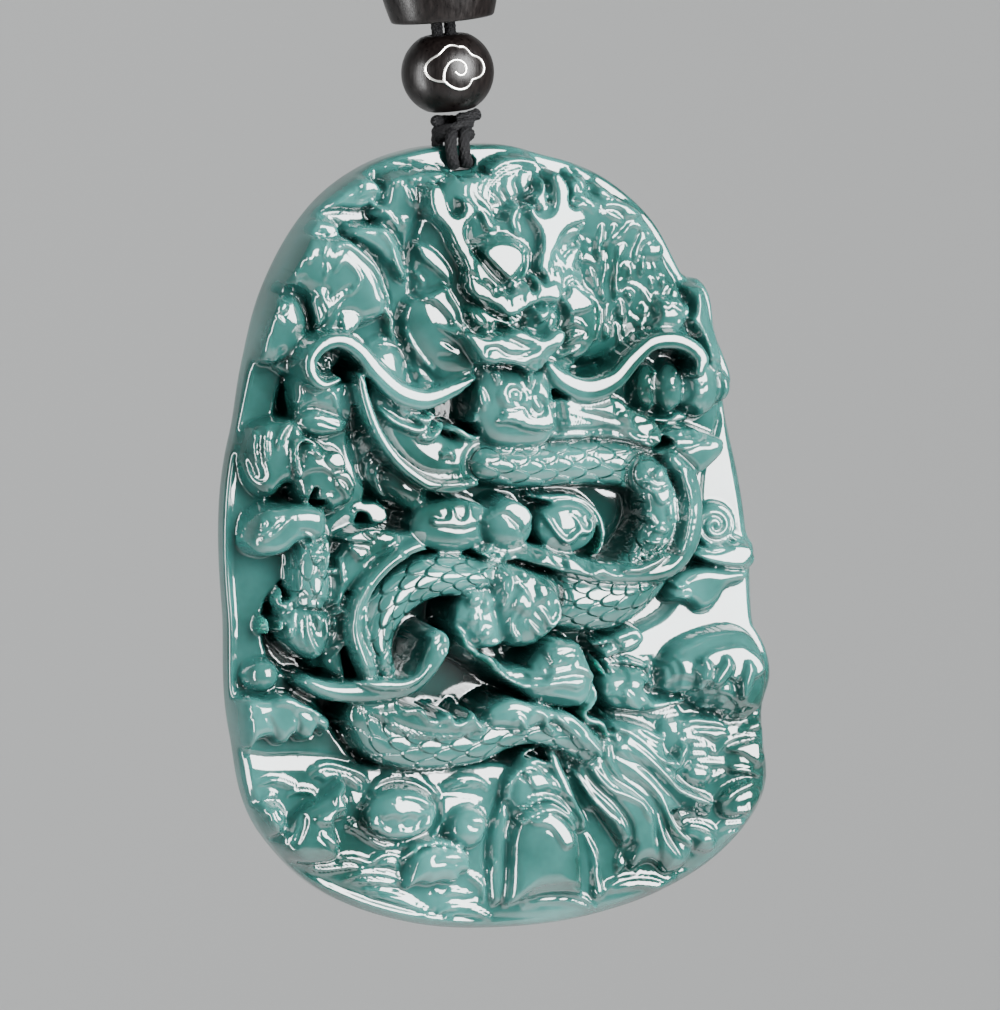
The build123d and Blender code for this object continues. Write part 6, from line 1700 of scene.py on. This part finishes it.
def new_material(name):
    """An empty node material with its output node."""
    material = bpy.data.materials.new(name)
    material.use_nodes = True
    material.node_tree.nodes.clear()
    return material, material.node_tree


def scale_relief(tree):
    """The height of overlapping scales, from the body's own lay: each rises to its free round edge."""
    lay = node(tree, "ShaderNodeAttribute", attribute_name="scale_lay", attribute_type="GEOMETRY")
    parts = node(tree, "ShaderNodeSeparateXYZ", [("Vector", lay.outputs["Vector"])]).outputs
    base = node(tree, "ShaderNodeMath", [(0, parts["X"])], operation="FLOOR").outputs[0]
    height = None
    for back in (0.0, 1.0):
        # each row is one step of sums; a name stands for the step, or the part of the lay, that it reads
        value = {"run": parts["X"], "side": parts["Y"], "base": base}
        for name, operation, *given in (
            ("row", "SUBTRACT", "base", back), ("ahead", "SUBTRACT", "run", "row"),
            ("share", "MULTIPLY", "ahead", 0.5), ("odd", "FLOORED_MODULO", "row", 2.0),
            ("shift", "MULTIPLY", "odd", 0.5), ("beside", "SUBTRACT", "side", "shift"),
            ("middle", "ROUND", "beside"), ("off", "SUBTRACT", "beside", "middle"),
            ("wide", "ABSOLUTE", "off"), ("width", "MULTIPLY", "wide", 2.0),
            ("across", "POWER", "width", scale_power), ("along", "POWER", "share", 2.0),
            ("spread", "ADD", "along", "across"),
            ("slope", "MULTIPLY_ADD", "share", 1 - scale_foot, scale_foot),
        ):
            sources = [(k, value.get(source, source)) for k, source in enumerate(given)]
            value[name] = node(tree, "ShaderNodeMath", sources, operation=operation).outputs[0]
        edge = node(tree, "ShaderNodeMapRange", [
            ("Value", value["spread"]), ("From Min", 1.0), ("From Max", 1 - scale_edge),
        ], interpolation_type="SMOOTHSTEP").outputs["Result"]
        rise = node(tree, "ShaderNodeMath", [(0, value["slope"]), (1, edge)], operation="MULTIPLY").outputs[0]
        if height is None:
            height = rise
            continue
        on = node(tree, "ShaderNodeMath", [(0, value["spread"]), (1, 1.0)], operation="LESS_THAN").outputs[0]
        height = node(tree, "ShaderNodeMix", [(0, on), (2, height), (3, rise)]).outputs[0]
    return node(tree, "ShaderNodeMath", [(0, height), (1, parts["Z"])], operation="MULTIPLY").outputs[0]


def polished_nephrite():
    """Polished nephrite jade: blue-green stone, glassy polish, faint pale clouds, painted shade in the cuts.
    """
    material, tree = new_material("polished nephrite jade")
    place = node(tree, "ShaderNodeTexCoord").outputs["Object"]
    cloud = node(tree, "ShaderNodeTexNoise", [
        ("Vector", place), ("Scale", 1 / (cloud_width * MM)), ("Detail", 5.0), ("Roughness", 0.6),
    ])
    ramp = node(tree, "ShaderNodeValToRGB", [("Fac", cloud.outputs["Fac"])])
    ramp.color_ramp.elements[0].position = 0.36
    ramp.color_ramp.elements[0].color = linear("#0D2723")
    ramp.color_ramp.elements[1].position = 0.66
    ramp.color_ramp.elements[1].color = linear("#29524F")
    # painted shade: a cut's depth below its surroundings mixes the stone's colour towards a dark green
    depth = node(tree, "ShaderNodeAttribute", attribute_name="painted_recess_shade", attribute_type="GEOMETRY")
    tone = node(tree, "ShaderNodeMix", [
        (0, depth.outputs["Fac"]), (6, ramp.outputs["Color"]), (7, linear("#06211E")),
    ], data_type="RGBA")
    bump = node(tree, "ShaderNodeBump", [
        ("Height", scale_relief(tree)), ("Distance", scale_bump * MM), ("Strength", 1.0),
    ])
    shader = node(tree, "ShaderNodeBsdfPrincipled", [
        ("Base Color", tone.outputs[2]), ("Roughness", 0.06), ("IOR", 1.62),
        ("Subsurface Weight", 0.35), ("Subsurface Radius", (0.35, 1.0, 0.85)), ("Subsurface Scale", 2.2 * MM),
        ("Normal", bump.outputs["Normal"]),
    ])
    node(tree, "ShaderNodeOutputMaterial", [("Surface", shader.outputs["BSDF"])])
    return material


def braided_polyester():
    """Black braided polyester cord: dark soft yarns, with painted grey glints on their tops and painted shade
    in the grooves.
    """
    material, tree = new_material("black braided polyester cord")
    lay = node(tree, "ShaderNodeAttribute", attribute_name="lay", attribute_type="GEOMETRY")
    parts = node(tree, "ShaderNodeSeparateXYZ", [("Vector", lay.outputs["Vector"])]).outputs
    around = node(tree, "ShaderNodeMath", [(0, parts["Y"]), (1, parts["X"])], operation="ARCTAN2")
    share = node(tree, "ShaderNodeMath", [(0, around.outputs[0]), (1, braid_count / 2)], operation="MULTIPLY")
    run = node(tree, "ShaderNodeMath", [(0, parts["Z"]), (1, math.pi / braid_pitch)], operation="MULTIPLY")
    yarns = []
    for kind in ("ADD", "SUBTRACT"):
        phase = node(tree, "ShaderNodeMath", [(0, share.outputs[0]), (1, run.outputs[0])], operation=kind)
        wave = node(tree, "ShaderNodeMath", [(0, phase.outputs[0])], operation="SINE")
        yarns.append(node(tree, "ShaderNodeMath", [(0, wave.outputs[0])], operation="ABSOLUTE").outputs[0])
    diamond = node(tree, "ShaderNodeMath", [(0, yarns[0]), (1, yarns[1])], operation="MULTIPLY")
    place = node(tree, "ShaderNodeTexCoord").outputs["Object"]
    filaments = node(tree, "ShaderNodeTexNoise", [
        ("Vector", place), ("Scale", 1 / (filament_pitch * MM)), ("Detail", 3.0), ("Roughness", 0.7),
    ])
    # painted glints and shade: the colour is paler on the yarn tops where filaments glint and darker in the
    # grooves
    painted_glint_and_shade = node(tree, "ShaderNodeMath", [(0, diamond.outputs[0]), (1, filaments.outputs["Fac"])],
                 operation="MULTIPLY")
    tone = node(tree, "ShaderNodeValToRGB", [("Fac", painted_glint_and_shade.outputs[0])])
    tone.color_ramp.elements[0].position = 0.12
    tone.color_ramp.elements[0].color = linear("#030304")
    tone.color_ramp.elements[1].position = 0.62
    tone.color_ramp.elements[1].color = linear("#101012")
    bump = node(tree, "ShaderNodeBump", [
        ("Height", filaments.outputs["Fac"]), ("Distance", 0.16 * MM), ("Strength", 1.0),
    ])
    shader = node(tree, "ShaderNodeBsdfPrincipled", [
        ("Base Color", tone.outputs["Color"]), ("Roughness", 0.5), ("IOR", 1.5), ("Specular IOR Level", 0.14),
        ("Normal", bump.outputs["Normal"]),
    ])
    node(tree, "ShaderNodeOutputMaterial", [("Surface", shader.outputs["BSDF"])])
    return material


def polished_ebony():
    """Ebony, turned and wax polished: near black, with fine brown streaks and pores along the bore."""
    material, tree = new_material("wax polished ebony")
    place = node(tree, "ShaderNodeTexCoord").outputs["Object"]
    along = node(tree, "ShaderNodeMapping", [
        ("Vector", place), ("Rotation", (0.0, stack_lean, 0.0)), ("Scale", (1.0, 1.0, 0.12)),
    ])
    grain = node(tree, "ShaderNodeTexNoise", [
        ("Vector", along.outputs["Vector"]), ("Scale", 1 / (grain_width * MM)), ("Detail", 6.0),
        ("Roughness", 0.65),
    ])
    tone = node(tree, "ShaderNodeValToRGB", [("Fac", grain.outputs["Fac"])])
    tone.color_ramp.elements[0].position = 0.35
    tone.color_ramp.elements[0].color = linear("#030202")
    tone.color_ramp.elements[1].position = 0.75
    tone.color_ramp.elements[1].color = linear("#0C0807")
    rough = node(tree, "ShaderNodeMapRange", [
        ("Value", grain.outputs["Fac"]), ("From Min", 0.3), ("From Max", 0.7),
        ("To Min", 0.24), ("To Max", 0.44),
    ])
    bump = node(tree, "ShaderNodeBump", [
        ("Height", grain.outputs["Fac"]), ("Distance", 0.03 * MM), ("Strength", 0.5),
    ])
    shader = node(tree, "ShaderNodeBsdfPrincipled", [
        ("Base Color", tone.outputs["Color"]), ("Roughness", rough.outputs["Result"]), ("IOR", 1.5),
        ("Normal", bump.outputs["Normal"]), ("Specular IOR Level", 0.22),
    ])
    node(tree, "ShaderNodeOutputMaterial", [("Surface", shader.outputs["BSDF"])])
    return material


def silver_wire():
    """Fine silver wire, hammered flush and rubbed: bright, warm white, softly scratched."""
    material, tree = new_material("rubbed silver wire")
    place = node(tree, "ShaderNodeTexCoord").outputs["Object"]
    rub = node(tree, "ShaderNodeTexNoise", [
        ("Vector", place), ("Scale", 1 / (rub_width * MM)), ("Detail", 3.0),
    ]).outputs["Fac"]
    rough = node(tree, "ShaderNodeMapRange", [("Value", rub), ("To Min", 0.2), ("To Max", 0.42)])
    shader = node(tree, "ShaderNodeBsdfPrincipled", [
        ("Base Color", linear("#F1EEE8")), ("Metallic", 1.0), ("Roughness", rough.outputs["Result"]),
    ])
    node(tree, "ShaderNodeOutputMaterial", [("Surface", shader.outputs["BSDF"])])
    return material


def finish_piece(obj, material, slot_name, *nodes):
    """Gives a piece its material and its body, and hides the parts that it takes the place of."""
    obj.data.materials.clear()
    obj.data.materials.append(material)
    if nodes:
        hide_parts(*nodes)
    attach(obj, "root")


def view_axes():
    """Right, up and towards the viewer, in the photo's view."""
    toward = Vector((
        -math.sin(view_turn) * math.cos(view_lift),
        -math.cos(view_turn) * math.cos(view_lift),
        math.sin(view_lift),
    ))
    right = Vector((math.cos(view_turn), -math.sin(view_turn), 0))
    return right, toward.cross(right), toward


def place_camera():
    """The photo's view: a long lens, turned to the plaque's left and a little above it."""
    right, up, toward = view_axes()
    off_right = (SHEET[0] / 2 - drawn_middle[0]) / DRAWN_SCALE
    off_up = (drawn_middle[1] - SHEET[1] / 2) / DRAWN_SCALE
    aim = Vector((plaque_mid[0], back_y, plaque_mid[2])) + right * off_right + up * off_up
    camera = bpy.data.objects.new("camera", bpy.data.cameras.new("camera"))
    bpy.context.scene.collection.objects.link(camera)
    camera.location = (aim + toward * camera_distance) * MM
    camera.rotation_euler = (-toward).to_track_quat("-Z", "Y").to_euler()
    camera.data.sensor_fit = "HORIZONTAL"
    camera.data.sensor_width = sensor_width
    camera.data.lens = sensor_width * camera_distance / (max(SHEET) / DRAWN_SCALE)
    camera.data.clip_start = 0.01
    bpy.context.scene.camera = camera


def softbox(name, place, aim, size, power, colour="#FFFFFF"):
    """A soft rectangular light, in millimetres, that faces a point."""
    light = bpy.data.lights.new(name, "AREA")
    light.shape = "RECTANGLE"
    light.size, light.size_y = size[0] * MM, size[1] * MM
    light.energy = power
    light.color = linear(colour)[:3]
    obj = bpy.data.objects.new(name, light)
    bpy.context.scene.collection.objects.link(obj)
    obj.location = Vector(place) * MM
    obj.rotation_euler = (Vector(aim) - Vector(place)).to_track_quat("-Z", "Y").to_euler()


def stage_and_lights():
    """A plain pale floor and backdrop, one large softbox at the upper right and a strip at the left."""
    mid = Vector((plaque_mid[0], 0.0, plaque_mid[2]))
    softbox("large softbox", mid + Vector((230, -500, 205)), mid, (440, 560), 42.0)
    softbox("left strip", mid + Vector((-430, -10, -20)), mid, (90, 460), 5.0)
    world = bpy.data.worlds.new("studio")
    world.use_nodes = True
    world.node_tree.nodes["Background"].inputs["Color"].default_value = linear("#D8DCDC")
    world.node_tree.nodes["Background"].inputs["Strength"].default_value = 0.3
    bpy.context.scene.world = world
    profile = [(sweep_front, floor_z), (sweep_bend, floor_z)]
    for t in np.linspace(0.1, math.pi / 2, 16):
        profile.append((
            sweep_bend + sweep_radius * math.sin(t), floor_z + sweep_radius - sweep_radius * math.cos(t),
        ))
    profile.append((sweep_bend + sweep_radius, floor_z + sweep_rise))
    points = [(x, y, z) for y, z in profile for x in (-sweep_side, sweep_side)]
    faces = [face for k in range(0, len(points) - 2, 2) for face in ((k, k + 1, k + 3), (k, k + 3, k + 2))]
    sweep = mesh_object("paper_sweep", points, faces)
    material, tree = new_material("pale matt paper")
    shader = node(tree, "ShaderNodeBsdfPrincipled", [("Base Color", linear("#D2D3D3")), ("Roughness", 0.9)])
    node(tree, "ShaderNodeOutputMaterial", [("Surface", shader.outputs["BSDF"])])
    sweep.data.materials.append(material)


jade = polished_nephrite()
place_camera()
stage_and_lights()
carving = carved_plaque()
finish_piece(carving, jade, "jade", "jade_pendant")

# Cord, knots and beads of the hanger
cord, ebony, silver = braided_polyester(), polished_ebony(), silver_wire()
finish_piece(plaque_cord(), cord, "cord", "plaque_knot")
finish_piece(turned_bead("round_ebony_bead", round_bead_span, round_bead_radii), ebony, "ebony", "round_bead")
finish_piece(turned_bead("barrel_ebony_bead", barrel_span, barrel_radii), ebony, "ebony", "barrel_bead")
finish_piece(silver_cloud(silver), silver, "silver")
bead_strands = [
    [stack_point(side * strand_offset, 0, up) for up in (4.29, 10.0, 17.0, 23.14)] for side in (-1, 1)
]
finish_piece(corded("bead_cords", bead_strands), cord, "cord", "thread_left", "thread_right")
top_routes = knot_routes(upper_knot, turned=3.4, loose_end=False)
finish_piece(corded("upper_knot", top_routes), cord, "cord", "top_knot")
finish_piece(hanging_loop(), cord, "cord", "hang_loop")
